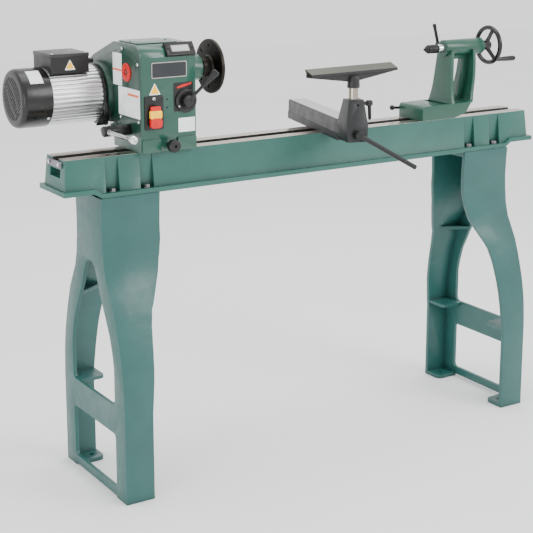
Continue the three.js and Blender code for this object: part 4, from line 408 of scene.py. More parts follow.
BLACK_IRON = cast_iron("black_iron", rgb(12, 12, 12), 0.34, 0.2).done()
SATIN_BLACK = moulded("satin_black", rgb(9, 9, 10), 0.27, 0.03).done()
GLOSS_BLACK = moulded("gloss_black", rgb(8, 8, 8), 0.18, 0.02).done()
PLASTIC = moulded("black_plastic", rgb(11, 11, 11), 0.42).done()
RED = moulded("red_plastic", rgb(196, 14, 12), 0.3, 0.02).done()
YELLOW = moulded("yellow_plastic", rgb(250, 190, 14), 0.34, 0.02).done()
ORANGE = moulded("orange_print", rgb(232, 110, 50), 0.5, 0.01).done()
WHITE = moulded("white_label", rgb(236, 238, 240), 0.5, 0.01).done()
SLATE = moulded("nameplate_field", rgb(30, 33, 38), 0.36, 0.02).done()
LCD = moulded("display_glass", rgb(176, 184, 180), 0.18, 0.004).done()
RUBBER = moulded("belt_rubber", rgb(20, 20, 20), 0.75).done()
COPPER = turned_metal("copper_windings", rgb(170, 96, 60), 0.4).done()


# ---------------------------------------------------------------- mesh building

def mesh_of(name, bm, sharp=32):
    bmesh.ops.remove_doubles(bm, verts=bm.verts, dist=1e-6)
    bmesh.ops.recalc_face_normals(bm, faces=bm.faces)
    mesh = bpy.data.meshes.new(name)
    bm.to_mesh(mesh)
    bm.free()
    mesh.shade_smooth()
    mesh.set_sharp_from_angle(angle=math.radians(sharp))
    return mesh


def sides_of(way):
    """Two directions square to a way and to each other."""
    way = Vector(way).normalized()
    first = (Z if abs(way.z) < 0.9 else X).cross(way).normalized()
    return way, first, way.cross(first)


def soften(points, radius, shade_in_corners=False, steps=3):
    """Rounds the corners of a flat outline."""
    made = []
    for i, corner in enumerate(points):
        corner = Vector(corner)
        if not shade_in_corners and i in (0, len(points) - 1):
            made.append(corner)
            continue
        back, on = Vector(points[i - 1]) - corner, Vector(points[(i + 1) % len(points)]) - corner
        start = corner + back.normalized() * min(radius, 0.45 * back.length)
        end = corner + on.normalized() * min(radius, 0.45 * on.length)
        for k in range(steps + 1):
            t = k / steps
            made.append(start * (1 - t) ** 2 + corner * 2 * t * (1 - t) + end * t * t)
    return made


def turn(bm, start, way, profile, steps=72, edge=0.0006):
    """A turned shape: the profile is a list of (radius, distance), in metres, on the axis or closed."""
    way, first, second = sides_of(way)
    shade_in_corners = profile[0][0] > 0
    points = soften(profile, edge, shade_in_corners)
    rings = []
    for i in range(steps):
        angle = 2 * math.pi * i / steps
        out = first * math.cos(angle) + second * math.sin(angle)
        rings.append([bm.verts.new(start + way * along + out * radius) for radius, along in points])
    span = len(points) if shade_in_corners else len(points) - 1
    for i in range(steps):
        near, far = rings[i], rings[(i + 1) % steps]
        for k in range(span):
            m = (k + 1) % len(points)
            bm.faces.new((near[k], near[m], far[m], far[k]))
    return bm


def slab(bm, middle, right, up, outline, thickness, edge=0.0004):
    """A flat plate standing out of a face. The outline is in metres from the middle."""
    out = right.cross(up).normalized()
    base = [bm.verts.new(middle + right * a + up * b) for a, b in outline]
    top = [bm.verts.new(middle + right * a + up * b + out * thickness) for a, b in outline]
    count = len(outline)
    faces = [bm.faces.new(base[::-1]), bm.faces.new(top)]
    for i in range(count):
        faces.append(bm.faces.new((base[i], base[(i + 1) % count], top[(i + 1) % count], top[i])))
    if edge:
        rim = [bm.edges.get((top[i], top[(i + 1) % count])) for i in range(count)]
        bmesh.ops.bevel(bm, geom=rim, offset=edge, segments=2, affect="EDGES", clamp_overlap=True)
    return bm


def panel(width, height, corner=0.002, steps=4):
    a, b = width / 2, height / 2
    return soften([(-a, -b), (a, -b), (a, b), (-a, b)], corner, True, steps)


def rounded_box(bm, low, high, edge):
    made = bmesh.ops.create_cube(bm, size=1)
    for vert in made["verts"]:
        vert.co = Vector(low[i] if vert.co[i] < 0 else high[i] for i in range(3))
    edges = {e for v in made["verts"] for e in v.link_edges}
    bmesh.ops.bevel(bm, geom=list(edges), offset=edge, segments=3, affect="EDGES", profile=0.5)
    return bm


def piece(name, bm, look, body, stands_for=(), sharp=32):
    made = bpy.data.objects.new(name, mesh_of(name, bm, sharp))
    bpy.context.scene.collection.objects.link(made)
    made.data.materials.append(look)
    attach(made, body)
    if stands_for:
        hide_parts(*stands_for)
    return made


def settle(made):
    """Applies a piece's modifiers to its mesh."""
    shown = made.evaluated_get(bpy.context.evaluated_depsgraph_get())
    mesh = bpy.data.meshes.new_from_object(shown)
    made.modifiers.clear()
    made.data = mesh
    return made


def carve(made, cutter, sharp=32):
    """Cuts closed shapes out of a piece."""
    tool = bpy.data.objects.new("cutter", mesh_of("cutter", cutter))
    bpy.context.scene.collection.objects.link(tool)
    difference = made.modifiers.new("carve", "BOOLEAN")
    difference.operation = "DIFFERENCE"
    difference.solver = "EXACT"
    difference.object = tool
    settle(made)
    assert made.data.polygons, f"nothing is left of {made.name}"
    made.data.set_sharp_from_angle(angle=math.radians(sharp))
    bpy.data.objects.remove(tool)
    return made


def cast_together(made, grain, passes=6):
    """Melts a piece's overlapping shapes into one casting with small fillets."""
    remesh = made.modifiers.new("remesh", "REMESH")
    remesh.mode = "VOXEL"
    remesh.voxel_size = grain
    ease = made.modifiers.new("ease", "SMOOTH")
    ease.factor = 0.5
    ease.iterations = passes
    settle(made)
    made.data.shade_smooth()
    return made


def screw(name, place, out, radius, body, look=None):
    """A pan-head screw with a cross recess, standing on a face."""
    way, first, second = sides_of(out)
    bm = bmesh.new()
    height = 0.55 * radius
    turn(bm, place, way, [(0, -0.4 * MM), (radius, -0.4 * MM), (radius, 0.35 * height),
        (0.75 * radius, 0.8 * height), (0.4 * radius, height), (0, height)], 28, 0.3 * MM)
    made = piece(name, bm, look or CHROME, body)
    deep, long, wide = 0.5 * height, 0.62 * radius, 0.16 * radius
    outline = [(-long, -wide), (-wide, -wide), (-wide, -long), (wide, -long), (wide, -wide),
        (long, -wide), (long, wide), (wide, wide), (wide, long), (-wide, long), (-wide, wide),
        (-long, wide)]
    cross = slab(bmesh.new(), place + way * deep, first, second, outline, height, 0)
    return carve(made, cross)


# ---------------------------------------------------------------- CAD castings and plates

def dress(name, look, edge):
    """Gives a CAD node its material and eased edges. The node itself isn't changed."""
    node = frame["nodes"][name]
    if node.material_slots:
        for held in node.material_slots:
            held.material = look
    else:
        node.data.materials.append(look)
    node.data.shade_smooth()
    weld = node.modifiers.new("weld", "WELD")
    weld.merge_threshold = 5e-6
    if edge:
        flat = node.modifiers.new("flat", "DECIMATE")
        flat.decimate_type = "DISSOLVE"
        flat.angle_limit = math.radians(0.6)
        ease = node.modifiers.new("ease", "BEVEL")
        ease.width = edge
        ease.segments = 3
        ease.limit_method = "ANGLE"
        ease.angle_limit = math.radians(33)
        ease.harden_normals = True
        ease.miter_outer = "MITER_ARC"


def castings():
    dress("bed_casting", BED_PAINT, 1.6 * MM)
    for side in ("left", "right"):
        dress(f"{side}_leg", LEG_PAINT, 2.4 * MM)
        dress(f"{side}_stop_plate", ZINC, 0.6 * MM)
    dress("headstock_casting", HEAD_PAINT, 2 * MM)
    dress("pulley_cover", COVER_PAINT_SHADED, 1.2 * MM)
    dress("top_cover", HEAD_PAINT, 0.8 * MM)
    dress("tailstock_casting", TAIL_PAINT_SHADED, 2 * MM)
    dress("banjo_casting", BANJO_IRON, 1.8 * MM)
    dress("tool_rest", REST_IRON, 0.9 * MM)
    for name in ("swivel_base", "headstock_clamp_plate", "banjo_clamp_plate", "tailstock_clamp_plate"):
        dress(name, IRON, 0.8 * MM)
    for name in ("headstock_clamp_bolt", "banjo_clamp_bolt", "tailstock_clamp_bolt", "rear_bearing",
                 "front_bearing", "motor_rotor", "leadscrew"):
        dress(name, STEEL, 0.3 * MM)
    dress("motor_end_bell", SATIN_BLACK, 1.2 * MM)
    dress("junction_box", PLASTIC, 1.4 * MM)
    dress("junction_box_lid", BOX_LID, 1.4 * MM)
    dress("switch_housing", PLASTIC, 0.7 * MM)
    dress("readout_housing", PLASTIC, 1 * MM)
    dress("cooling_fan", PLASTIC, 0.4 * MM)
    for name in ("spindle_pulley", "motor_pulley"):
        dress(name, ALUMINIUM, 0.3 * MM)
    dress("motor_stator", COPPER, 0.5 * MM)
    dress("drive_belt", RUBBER, 0.5 * MM)


# ---------------------------------------------------------------- bed

def leg_bolts():
    for side in ("left", "right"):
        for face in ("front", "back"):
            for row in (1, 2):
                name = f"{side}_leg_bolt_{face}_{row}"
                box = Box(name)
                foot = Vector((box.mid.x, box.mid.y, box.hi.z - 9 * MM))
                bm = bmesh.new()
                turn(bm, foot, Z, mm((0, -22), (5, -22), (5, 0), (10.5, 0), (10.5, 1.8), (8.6, 2),
                    (8.6, 2.2), (0, 2.2)), 36, 0.3 * MM)
                head = [(9.3 * MM * math.cos(math.pi * k / 3),
                    9.3 * MM * math.sin(math.pi * k / 3)) for k in range(6)]
                slab(bm, foot + Z * 2 * MM, X, Y, head, 7 * MM, 0.8 * MM)
                piece(f"{name}_fine", bm, BOLT_ZINC, "bed", [name])


def stop_screws():
    """Two screws in the plate that closes each end of the groove."""
    for side, out in (("left", -X), ("right", X)):
        plate = Box(f"{side}_stop_plate")
        outside = plate.lo.x if side == "left" else plate.hi.x
        for face, y in (("front", plate.lo.y + 13 * MM), ("back", plate.hi.y - 13 * MM)):
            screw(f"{side}_stop_screw_{face}", Vector((outside, y, plate.mid.z)), out, 5 * MM, "bed")


# ---------------------------------------------------------------- headstock

def nameplate():
    """A blank dark plate in a raised bright border."""
    middle = spot(3.5, 9.5)
    bm = slab(bmesh.new(), middle, X, Z, panel(103 * MM, 41 * MM, 5 * MM), 1.4 * MM)
    piece("nameplate_border", bm, STEEL, "headstock")
    bm = slab(bmesh.new(), middle - Y * 1.2 * MM, X, Z, panel(98.5 * MM, 36.5 * MM, 3.5 * MM), 0.5 * MM,
        0.1 * MM)
    piece("nameplate_field", bm, SLATE, "headstock")


def labels():
    """Blank stickers where a machine carries its printed ones."""
    def front(name, middle, width, height, look, raised=0.25):
        bm = slab(bmesh.new(), middle, X, Z, panel(width * MM, height * MM, 1.5 * MM), raised * MM, 0)
        piece(name, bm, look, "headstock")

    def left(name, middle, width, height, look, raised=0.25):
        bm = slab(bmesh.new(), middle, -Y, Z, panel(width * MM, height * MM, 1.5 * MM), raised * MM, 0)
        piece(name, bm, look, "headstock")

    front("label_front", spot(53.5, -137.5), 49, 37, WHITE)
    left("label_side_upper", side_spot(53, 4), 52, 84, WHITE)
    left("label_side_upper_band", side_spot(53, 2, 0.2), 50, 5, ORANGE)
    left("label_side_lower", side_spot(-12, -77), 122, 74, WHITE)
    left("label_side_lower_band", side_spot(-35, -56, 0.2), 62, 6, ORANGE)
    for name, middle, right, half, look, raised in (
        ("label_triangle", spot(-39, -38), X, 16.5, WHITE, 0.25),
        ("label_triangle_field", spot(-39, -38.5, 0.2), X, 13, YELLOW, 0.25),
    ):
        corners = [(-half * MM, -0.9 * half * MM), (half * MM, -0.9 * half * MM), (0, 0.95 * half * MM)]
        bm = slab(bmesh.new(), middle, right, Z, soften(corners, 3 * MM, True), raised * MM, 0)
        piece(name, bm, look, "headstock")


def readout():
    """The display window: a bright frame round a pale glass, on the bend above the front face."""
    box = Box("readout_housing")
    lean = math.radians(145)
    bend = 32 * MM
    out = Vector((0, math.cos(lean), math.sin(lean)))
    up = Vector((0, out.z, -out.y))
    corner = Vector((box.mid.x, SPINDLE.y - 75 * MM + bend, SPINDLE.z + 74 * MM - bend))
    face = corner + out * (bend + 4 * MM)
    bm = slab(bmesh.new(), face - out * 0.8 * MM, X, up, panel(box.size.x - 32 * MM, 19 * MM, 1 * MM),
        1.2 * MM, 0.3 * MM)
    piece("readout_frame", bm, STEEL, "headstock")
    bm = slab(bmesh.new(), face + out * 0.1 * MM, X, up, panel(box.size.x - 37 * MM, 14 * MM, 0.6 * MM),
        0.6 * MM, 0.1 * MM)
    piece("readout_glass", bm, LCD, "headstock")
    for side in (-1, 1):
        screw(f"readout_screw_{'left' if side < 0 else 'right'}",
            face + X * side * (box.size.x / 2 - 7 * MM), out, 3 * MM, "headstock", BLACK_IRON)


def switch():
    """The stop switch: black plate, red tab, yellow paddle with a red foot."""
    box = Box("switch_paddle")
    plate = Box("switch_housing")
    face = box.lo.y
    width = box.size.x
    left, right = box.mid.x - width / 2, box.mid.x + width / 2
    bands = (("switch_tab", RED, 0.78, 1.0, 0.42, 3.5), ("switch_yellow", YELLOW, 0.44, 0.8, 0.5, 1.2),
             ("switch_foot", RED, 0.0, 0.46, 0.5, 0.0))
    for name, look, low, high, half, back in bands:
        half_width = half * width
        bottom, top = box.lo.z + low * box.size.z, box.lo.z + high * box.size.z
        round_corner = 0.45 * half_width if name == "switch_foot" else 3 * MM
        outline = [(-half_width, bottom), (half_width, bottom), (half_width, top), (-half_width, top)]
        shape = soften([(a, b - box.mid.z) for a, b in outline], round_corner, True, 6)
        middle = Vector((box.mid.x, box.hi.y, box.mid.z))
        bm = slab(bmesh.new(), middle, X, Z, shape, box.size.y - back * MM, 2 * MM)
        stands = ["switch_paddle"] if name == "switch_foot" else []
        piece(name, bm, look, "switch_paddle", stands)
    for i in range(5):
        bm = bmesh.new()
        low = box.lo.z + (7 + 3.2 * i) * MM
        rounded_box(bm, (left + 9 * MM, face - 0.5 * MM, low), (right - 9 * MM, face + 1.5 * MM,
            low + 1.4 * MM), 0.4 * MM)
        piece(f"switch_rib_{i + 1}", bm, RED, "switch_paddle")
    screw("switch_screw", Vector((box.mid.x, plate.lo.y + 1.6 * MM, plate.hi.z - 7 * MM)), -Y, 4.4 * MM,
        "headstock")


def speed_plate():
    """The plate behind the speed lever, with its printed arc."""
    bm = slab(bmesh.new(), spot(44.5, -63.5), X, Z, panel(57 * MM, 75 * MM, 4 * MM), 0.8 * MM, 0.2 * MM)
    piece("speed_plate", bm, PLASTIC, "headstock")
    middle = Box("speed_bezel").mid
    bm = slab(bmesh.new(), Vector((middle.x - 4 * MM, HEAD_FACE - 0.7 * MM, middle.z + 39 * MM)), X, Z,
        soften(mm((-22, -6), (2, -2), (22, 4), (22, 8), (-4, 4), (-22, -2)), 2 * MM, True), 0.3 * MM, 0)
    piece("speed_print", bm, RED, "headstock")


def speed_bezel():
    bezel = Box("speed_bezel")
    middle = bezel.mid
    radius = bezel.size.x / 2
    bm = turn(bmesh.new(), Vector((middle.x, bezel.hi.y, middle.z)), -Y, [(6.5 * MM, 0), (radius, 0),
        (radius, 4.5 * MM), (radius - 3 * MM, 7 * MM), (radius - 9 * MM, 7 * MM),
        (radius - 10 * MM, 5.4 * MM), (6.5 * MM, 5.4 * MM)], 72)
    piece("speed_bezel_fine", bm, PLASTIC, "headstock", ["speed_bezel"])
    screw("speed_screw", Vector((middle.x - 22 * MM, bezel.lo.y + 0.4 * MM, middle.z - 13 * MM)), -Y,
        2.6 * MM, "headstock")


def speed_lever():
    """Hub, slanting arm and flared grip."""
    hub = pivot("speed_lever_turn")
    face = Box("speed_bezel").lo.y - 0.3 * MM
    bm = turn(bmesh.new(), Vector((hub.x, face, hub.z)), -Y, mm((0, -16), (6, -16), (6, 0), (16, 0),
        (16, 8), (14, 13), (6, 14), (6, 13.2), (0, 13.2)), 64, 1 * MM)
    way = Vector((71, -26, 75)).normalized()
    start = Vector((hub.x, face - 7 * MM, hub.z))
    turn(bm, start, way, mm((0, 8), (6, 8), (6, 20), (4.4, 24), (4.4, 64), (0, 64)), 32)
    turn(bm, start, way, mm((0, 60), (5.5, 60), (6.4, 66), (8, 84), (10, 102), (9.4, 107), (5, 108),
        (0, 108)), 40, 1.4 * MM)
    piece("speed_lever_fine", bm, PLASTIC, "speed_lever", ["speed_lever"])


def faceplate():
    box = Box("faceplate")
    radius = box.size.y / 2
    hub, bore, thick = 27 * MM, 16.4 * MM, 10 * MM
    back = box.size.x - thick
    bm = turn(bmesh.new(), on_spindle(box.lo.x), X,
              [(bore, 0), (hub - 2 * MM, 0), (hub, 2 * MM), (hub, back - 4 * MM), (hub + 4 * MM, back),
               (radius - 1.5 * MM, back), (radius, back + 1.5 * MM), (radius, box.size.x - 1.5 * MM),
               (radius - 1.5 * MM, box.size.x), (bore, box.size.x)], 112, 0.8 * MM)
    made = piece("faceplate_fine", bm, PLATE_IRON, "spindle", ["faceplate"])
    holes = bmesh.new()
    for i in range(8):
        angle = math.pi * i / 4
        place = Vector((box.lo.x + back - 4 * MM, SPINDLE.y + 0.76 * radius * math.cos(angle),
                        SPINDLE.z + 0.76 * radius * math.sin(angle)))
        turn(holes, place, X, mm((0, 0), (3.2, 0), (3.2, 20), (0, 20)), 20, 0)
    carve(made, holes)


def spindle():
    box = Box("spindle")
    profile = [*mm((5, 0), (12, 0), (12, 60), (15, 60), (15, 209.3), (22, 209.3), (22, 215.3),
        (15.9, 215.3)), (15.9 * MM, box.size.x), (7 * MM, box.size.x), (5 * MM, box.size.x - 8 * MM)]
    bm = turn(bmesh.new(), on_spindle(box.lo.x), X, profile, 64, 0.8 * MM)
    piece("spindle_fine", bm, STEEL, "spindle", ["spindle"])


def spindle_end_ring():
    box = Box("spindle_end_ring")
    depth = box.size.x
    bm = turn(bmesh.new(), on_spindle(box.hi.x), -X, [(12.3 * MM, 0),
        (box.size.y / 2, 0), (box.size.y / 2, depth - 1 * MM), (box.size.y / 2 - 2 * MM, depth),
        (9 * MM, depth), (9 * MM, depth - 3 * MM), (12.3 * MM, depth - 3.6 * MM)], 72, 0.5 * MM)
    piece("spindle_end_ring_fine", bm, RED, "spindle", ["spindle_end_ring"])


def index_plunger():
    """A ribbed knob on a thin shaft."""
    box = Box("index_plunger")
    axis = Vector((box.mid.x, box.lo.y, box.mid.z))
    radius, length = 16.5 * MM, box.size.y
    bm = turn(bmesh.new(), axis, Y, [*mm((0, 5), (4, 5), (4, 0)), (radius - 3 * MM, 0), (radius, 3 * MM),
        (radius, 17 * MM), (radius - 2 * MM, 19.5 * MM), *mm((9, 20), (9, 24), (4.4, 24)),
        (4.4 * MM, length), (0, length)], 64, 0.9 * MM)
    for k in range(20):
        angle = 2 * math.pi * k / 20
        rib = axis + Y * 3.4 * MM + Vector((math.cos(angle), 0, math.sin(angle))) * (radius - 0.4 * MM)
        turn(bm, rib, Y, mm((0, 0), (0.9, 0.6), (0.9, 12.6), (0, 13.2)), 8, 0.2 * MM)
    piece("index_plunger_fine", bm, PLASTIC, "index_plunger", ["index_plunger"])


def headstock_lock_shaft():
    """The clamp's shaft, drilled across for its lever."""
    shaft = Box("headstock_lock_shaft")
    start = Vector((shaft.lo.x, shaft.mid.y, shaft.mid.z))
    reach = shaft.size.x
    bm = turn(bmesh.new(), start, X, [*mm((0, 0), (12, 0), (14, 2), (14, 21), (12.5, 22.5), (12.5, 44),
        (14, 46), (14, 93), (9, 93)), (9 * MM, reach), (0, reach)], 56, 0.9 * MM)
    made = piece("headstock_lock_shaft_fine", bm, BLACK_IRON, "headstock_lock",
        ["headstock_lock_shaft"])
    lever = Box("headstock_lock_lever")
    cross = Vector((lever.mid.x, lever.lo.y, lever.mid.z))
    carve(made, turn(bmesh.new(), cross, Y, mm((0, 0), (6.2, 0), (6.2, 300), (0, 300)), 32, 0))


def headstock_lock_lever():
    """A chromed bar through the shaft, with a drilled ball at its end."""
    lever = Box("headstock_lock_lever")
    cross = Vector((lever.mid.x, lever.lo.y, lever.mid.z))
    ball = 12 * MM
    profile = [(0, 0.5 * MM)]
    for k in range(15):
        angle = math.radians(8 + 162 * k / 14)
        profile.append((ball * math.sin(angle), ball - ball * math.cos(angle)))
    front = pivot("headstock_lock_turn").y - 14 * MM - lever.lo.y
    profile += [(5.2 * MM, 26 * MM), (5.6 * MM, 50 * MM), (6.6 * MM, front - 16 * MM),
        (8 * MM, front - 9 * MM), (8 * MM, front - 1 * MM), (6 * MM, front - 1 * MM),
        (6 * MM, front + 29 * MM), (9 * MM, front + 29 * MM), (9 * MM, front + 37 * MM),
        (7 * MM, front + 39 * MM), (0, front + 39 * MM)]
    bm = turn(bmesh.new(), cross, Y, profile, 56, 0.5 * MM)
    made = piece("headstock_lock_lever_fine", bm, CHROME, "headstock_lock",
        ["headstock_lock_lever"])
    carve(made, turn(bmesh.new(), cross - Y * 2 * MM, Y, mm((0, 0), (3.6, 0), (3.6, 9), (0, 11)), 24, 0))


def belt_tension_knob():
    knob = Vector((ORIGIN.x + 204.7 * MM, SPINDLE.y + 63 * MM, WAY_TOP + 61 * MM))
    bm = turn(bmesh.new(), knob, -X, mm((0, 0), (6, 0), (6, 6), (9, 7), (9, 24), (6, 26.7), (0, 26.7)),
        40, 1.2 * MM)
    piece("belt_tension_knob", bm, CHROME, "headstock")


def front_plugs():
    for i, z in enumerate((-67, -88)):
        bm = turn(bmesh.new(), spot(-4, z, 0.1), -Y, mm((0, 0), (2.6, 0), (2.6, 0.3), (0, 0.3)), 24,
            0.1 * MM)
        piece(f"front_plug_{i + 1}", bm, GLOSS_BLACK, "headstock")


def cover_screws():
    for i, (y, z) in enumerate(((-67, 26), (-67, -122), (35, -120), (20, 60))):
        screw(f"cover_screw_{i + 1}", side_spot(y, z, 2), -X, 4.4 * MM, "headstock")


# ---------------------------------------------------------------- motor

def motor_housing():
    """A tube with rounded ribs along it."""
    box = Box("motor_housing")
    radius, inner = 77 * MM, 69 * MM
    ribs, deep = 38, 4.6 * MM
    shape = []
    rib = [(0.0, deep), (0.12, deep), (0.2, 0.9 * MM), (0.34, 0.1 * MM), (0.56, 0), (0.78, 0.1 * MM),
           (0.92, 0.9 * MM)]
    for i in range(ribs):
        for share, depth in rib:
            angle = 2 * math.pi * (i + share) / ribs
            shape.append((angle, radius - depth))
    bm = bmesh.new()
    rings = []
    count = len(shape)
    for x, trim in ((box.lo.x, 1.0), (box.lo.x + 1 * MM, 0), (box.hi.x - 1 * MM, 0), (box.hi.x, 1.0)):
        rings.append([bm.verts.new((x, MOTOR.y + (r - trim * MM) * math.cos(a),
            MOTOR.z + (r - trim * MM) * math.sin(a))) for a, r in shape])
    for near, far in zip(rings, rings[1:]):
        for k in range(count):
            bm.faces.new((near[k], near[(k + 1) % count], far[(k + 1) % count], far[k]))
    cores = [[bm.verts.new((x, MOTOR.y + inner * math.cos(a), MOTOR.z + inner * math.sin(a)))
        for a, _ in shape] for x in (box.lo.x, box.hi.x)]
    for k in range(count):
        m = (k + 1) % count
        bm.faces.new((cores[0][k], cores[0][m], cores[1][m], cores[1][k]))
        bm.faces.new((rings[0][k], rings[0][m], cores[0][m], cores[0][k]))
        bm.faces.new((rings[3][k], rings[3][m], cores[1][m], cores[1][k]))
    piece("motor_housing_fine", bm, ALUMINIUM, "headstock", ["motor_housing"], 40)


def fan_cover():
    """A cup whose end is cut by slanting rows of air slots."""
    box = Box("fan_cover")
    radius, wall = box.size.y / 2, 2.5 * MM
    length = box.size.x
    start = on_motor(box.hi.x)
    outer = [(radius - wall, 0), (radius, 0), (radius, length - 12 * MM),
        (radius - 2 * MM, length - 5 * MM), (radius - 6 * MM, length - 1 * MM),
        (radius - 14 * MM, length), (0.01 * MM, length)]
    inside = [(0.01 * MM, length - wall), (radius - 15 * MM, length - wall),
        (radius - 8 * MM, length - 4 * MM), (radius - wall, length - 12 * MM)]
    bm = turn(bmesh.new(), start, -X, outer + inside, 96, 1.2 * MM)
    made = piece("fan_cover_fine", bm, SATIN_BLACK, "headstock", ["fan_cover"], 40)
    slots = bmesh.new()
    tilt = math.radians(38)
    along = Vector((0, -math.cos(tilt), math.sin(tilt)))
    square = Vector((0, math.sin(tilt), math.cos(tilt)))
    far = radius - 20 * MM
    pitch, half = 7.6 * MM, 1.7 * MM
    outside = on_motor(box.lo.x - 5 * MM)
    for row in range(-7, 8):
        offset = row * pitch
        if abs(offset) > far:
            continue
        reach = math.sqrt(far * far - offset * offset)
        pieces = 3 if reach > 34 * MM else 1
        step = 2 * reach / pieces
        for k in range(pieces):
            low = -reach + k * step + 2.4 * MM
            high = -reach + (k + 1) * step - 2.4 * MM
            if high - low < 5 * MM:
                continue
            middle = outside + along * ((low + high) / 2) + square * offset
            slab(slots, middle, along, along.cross(-X), panel(high - low, 2 * half, half * 0.95, 4),
                12 * MM, 0)
    carve(made, slots, 40)


def fan_cover_label():
    """A blank sticker bent round the cover."""
    box = Box("fan_cover")
    radius = box.size.y / 2
    label_turn = math.radians(128)
    bm = bmesh.new()
    strip = []
    for k in range(9):
        angle = label_turn - math.radians(34) * (k / 8 - 0.5)
        out = Vector((0, math.cos(angle), math.sin(angle)))
        for x in (box.lo.x + 26 * MM, box.lo.x + 62 * MM):
            strip.append(bm.verts.new(on_motor(x) + out * (radius + 0.15 * MM)))
            strip.append(bm.verts.new(on_motor(x) + out * (radius + 0.4 * MM)))
    for k in range(8):
        a = strip[4 * k:4 * k + 8]
        bm.faces.new((a[0], a[2], a[6], a[4]))
        bm.faces.new((a[1], a[5], a[7], a[3]))
        bm.faces.new((a[0], a[4], a[5], a[1]))
        bm.faces.new((a[2], a[3], a[7], a[6]))
    bm.faces.new((strip[0], strip[1], strip[3], strip[2]))
    bm.faces.new((strip[-4], strip[-2], strip[-1], strip[-3]))
    piece("label_fan_cover", bm, WHITE, "headstock")


def fan_cover_screw():
    box = Box("fan_cover")
    radius = box.size.y / 2
    out = Vector((0, -math.cos(math.radians(38)), -math.sin(math.radians(38))))
    screw("fan_cover_screw", on_motor(box.hi.x - 9 * MM) + out * radius, out, 4 * MM,
        "headstock")


def junction_box():
    lid = Box("junction_box_lid")
    corners = [(x, y) for y in (lid.lo.y, lid.hi.y) for x in (lid.lo.x, lid.hi.x)]
    for i, (x, y) in enumerate(corners):
        inward = Vector((1 if x < lid.mid.x else -1, 1 if y < lid.mid.y else -1, 0)) * 8 * MM
        screw(f"junction_box_screw_{i + 1}", Vector((x, y, lid.hi.z)) + inward, Z, 3.4 * MM, "headstock")
    triangle = mm((-15, -13), (15, -13), (0, 14))
    box = Box("junction_box")
    middle = Vector((lid.mid.x, lid.lo.y + 2 * MM, box.lo.z + 0.52 * (lid.lo.z - box.lo.z)))
    sheets = (("label_box_triangle", 1.0, WHITE, 0.0), ("label_box_triangle_field", 0.78, YELLOW, 0.2))
    for name, scale, look, out in sheets:
        shape = soften([(a * scale, b * scale) for a, b in triangle], 2.4 * MM, True)
        bm = slab(bmesh.new(), middle - Y * out * MM, X, Z, shape, 0.25 * MM, 0)
        piece(name, bm, look, "headstock")


# ---------------------------------------------------------------- banjo and tool rest

def banjo_clamp_bar():
    """The clamp's long shaft under the arm, with its slanting bar in front."""
    reach = direction("banjo_reach")
    across = direction("post_lock_turn")
    shaft = pivot("banjo_clamp_turn")
    back, front = 190 * MM, 265 * MM
    dip = math.radians(30.5)
    way = across * math.cos(dip) - Z * math.sin(dip)
    bm = turn(bmesh.new(), shaft, reach, [(0, -back), (8 * MM, -back), (8 * MM, front + 2 * MM),
        (11 * MM, front + 2 * MM), (11 * MM, front + 17 * MM), (9 * MM, front + 18.5 * MM),
        (0, front + 18.5 * MM)], 48, 0.8 * MM)
    start = shaft + reach * (front + 10 * MM)
    turn(bm, start, way, mm((0, -11), (6.5, -11), (6.5, 193), (5.2, 195), (0, 195)), 48, 0.8 * MM)
    piece("banjo_clamp_bar_fine", bm, IRON, "banjo_clamp", ["banjo_clamp_bar"])


def tool_rest_post():
    box = Box("tool_rest_post")
    foot = Vector((box.mid.x, box.mid.y, box.lo.z))
    bm = turn(bmesh.new(), foot, Z, [*mm((0, 0), (11.5, 0), (12.7, 1.2)), (12.7 * MM, box.size.z),
        (0, box.size.z)], 64, 0.6 * MM)
    piece("tool_rest_post_fine", bm, POST_STEEL, "rest_post", ["tool_rest_post"])


def post_lock_handle():
    across = direction("post_lock_turn")
    lock = pivot("post_lock_turn")
    bm = turn(bmesh.new(), lock, across, mm((0, 13.7), (5, 13.7), (5, 38), (8, 38), (8, 52), (6.5, 55),
        (3, 56), (0, 56)), 40, 1.2 * MM)
    hub = lock + across * 47 * MM
    turn(bm, hub, -Z + across * 0.04, mm((0, 0), (6.4, 0), (4.8, 12), (4.6, 34), (4.6, 43), (2.6, 46),
        (0, 46)), 32, 1.6 * MM)
    piece("post_lock_handle_fine", bm, GLOSS_BLACK, "post_lock", ["post_lock_handle"])


# ---------------------------------------------------------------- tailstock

def quill():
    box = Box("quill")
    start = on_spindle(box.lo.x)
    radius = box.size.y / 2
    bm = turn(bmesh.new(), start, X, [(8.5 * MM, 0), (radius - 1 * MM, 0), (radius, 1 * MM),
        (radius, box.size.x), (6.8 * MM, box.size.x), (6.8 * MM, 50 * MM), (7.5 * MM, 50 * MM)], 72,
        0.5 * MM)
    piece("quill_fine", bm, CHROME, "quill", ["quill"])


def live_centre():
    box = Box("live_centre")
    start = on_spindle(box.lo.x)
    length, face = box.size.x, 54 * MM
    radius = 13 * MM
    bm = turn(bmesh.new(), start, X, [*mm((0, 0), (6.6, 10.5), (7.6, 11), (9.2, 12.5), (9.2, 16),
        (11.2, 16.4)), (radius, 18.6 * MM), (radius, 28.6 * MM), (11.4 * MM, 29.4 * MM),
        (11.4 * MM, 33.6 * MM), (radius, 34.4 * MM), (radius, face), (8.2 * MM, face), (7.2 * MM, length),
        (0, length)], 72, 0.5 * MM)
    piece("live_centre_fine", bm, BLACK_IRON, "live_centre", ["live_centre"])


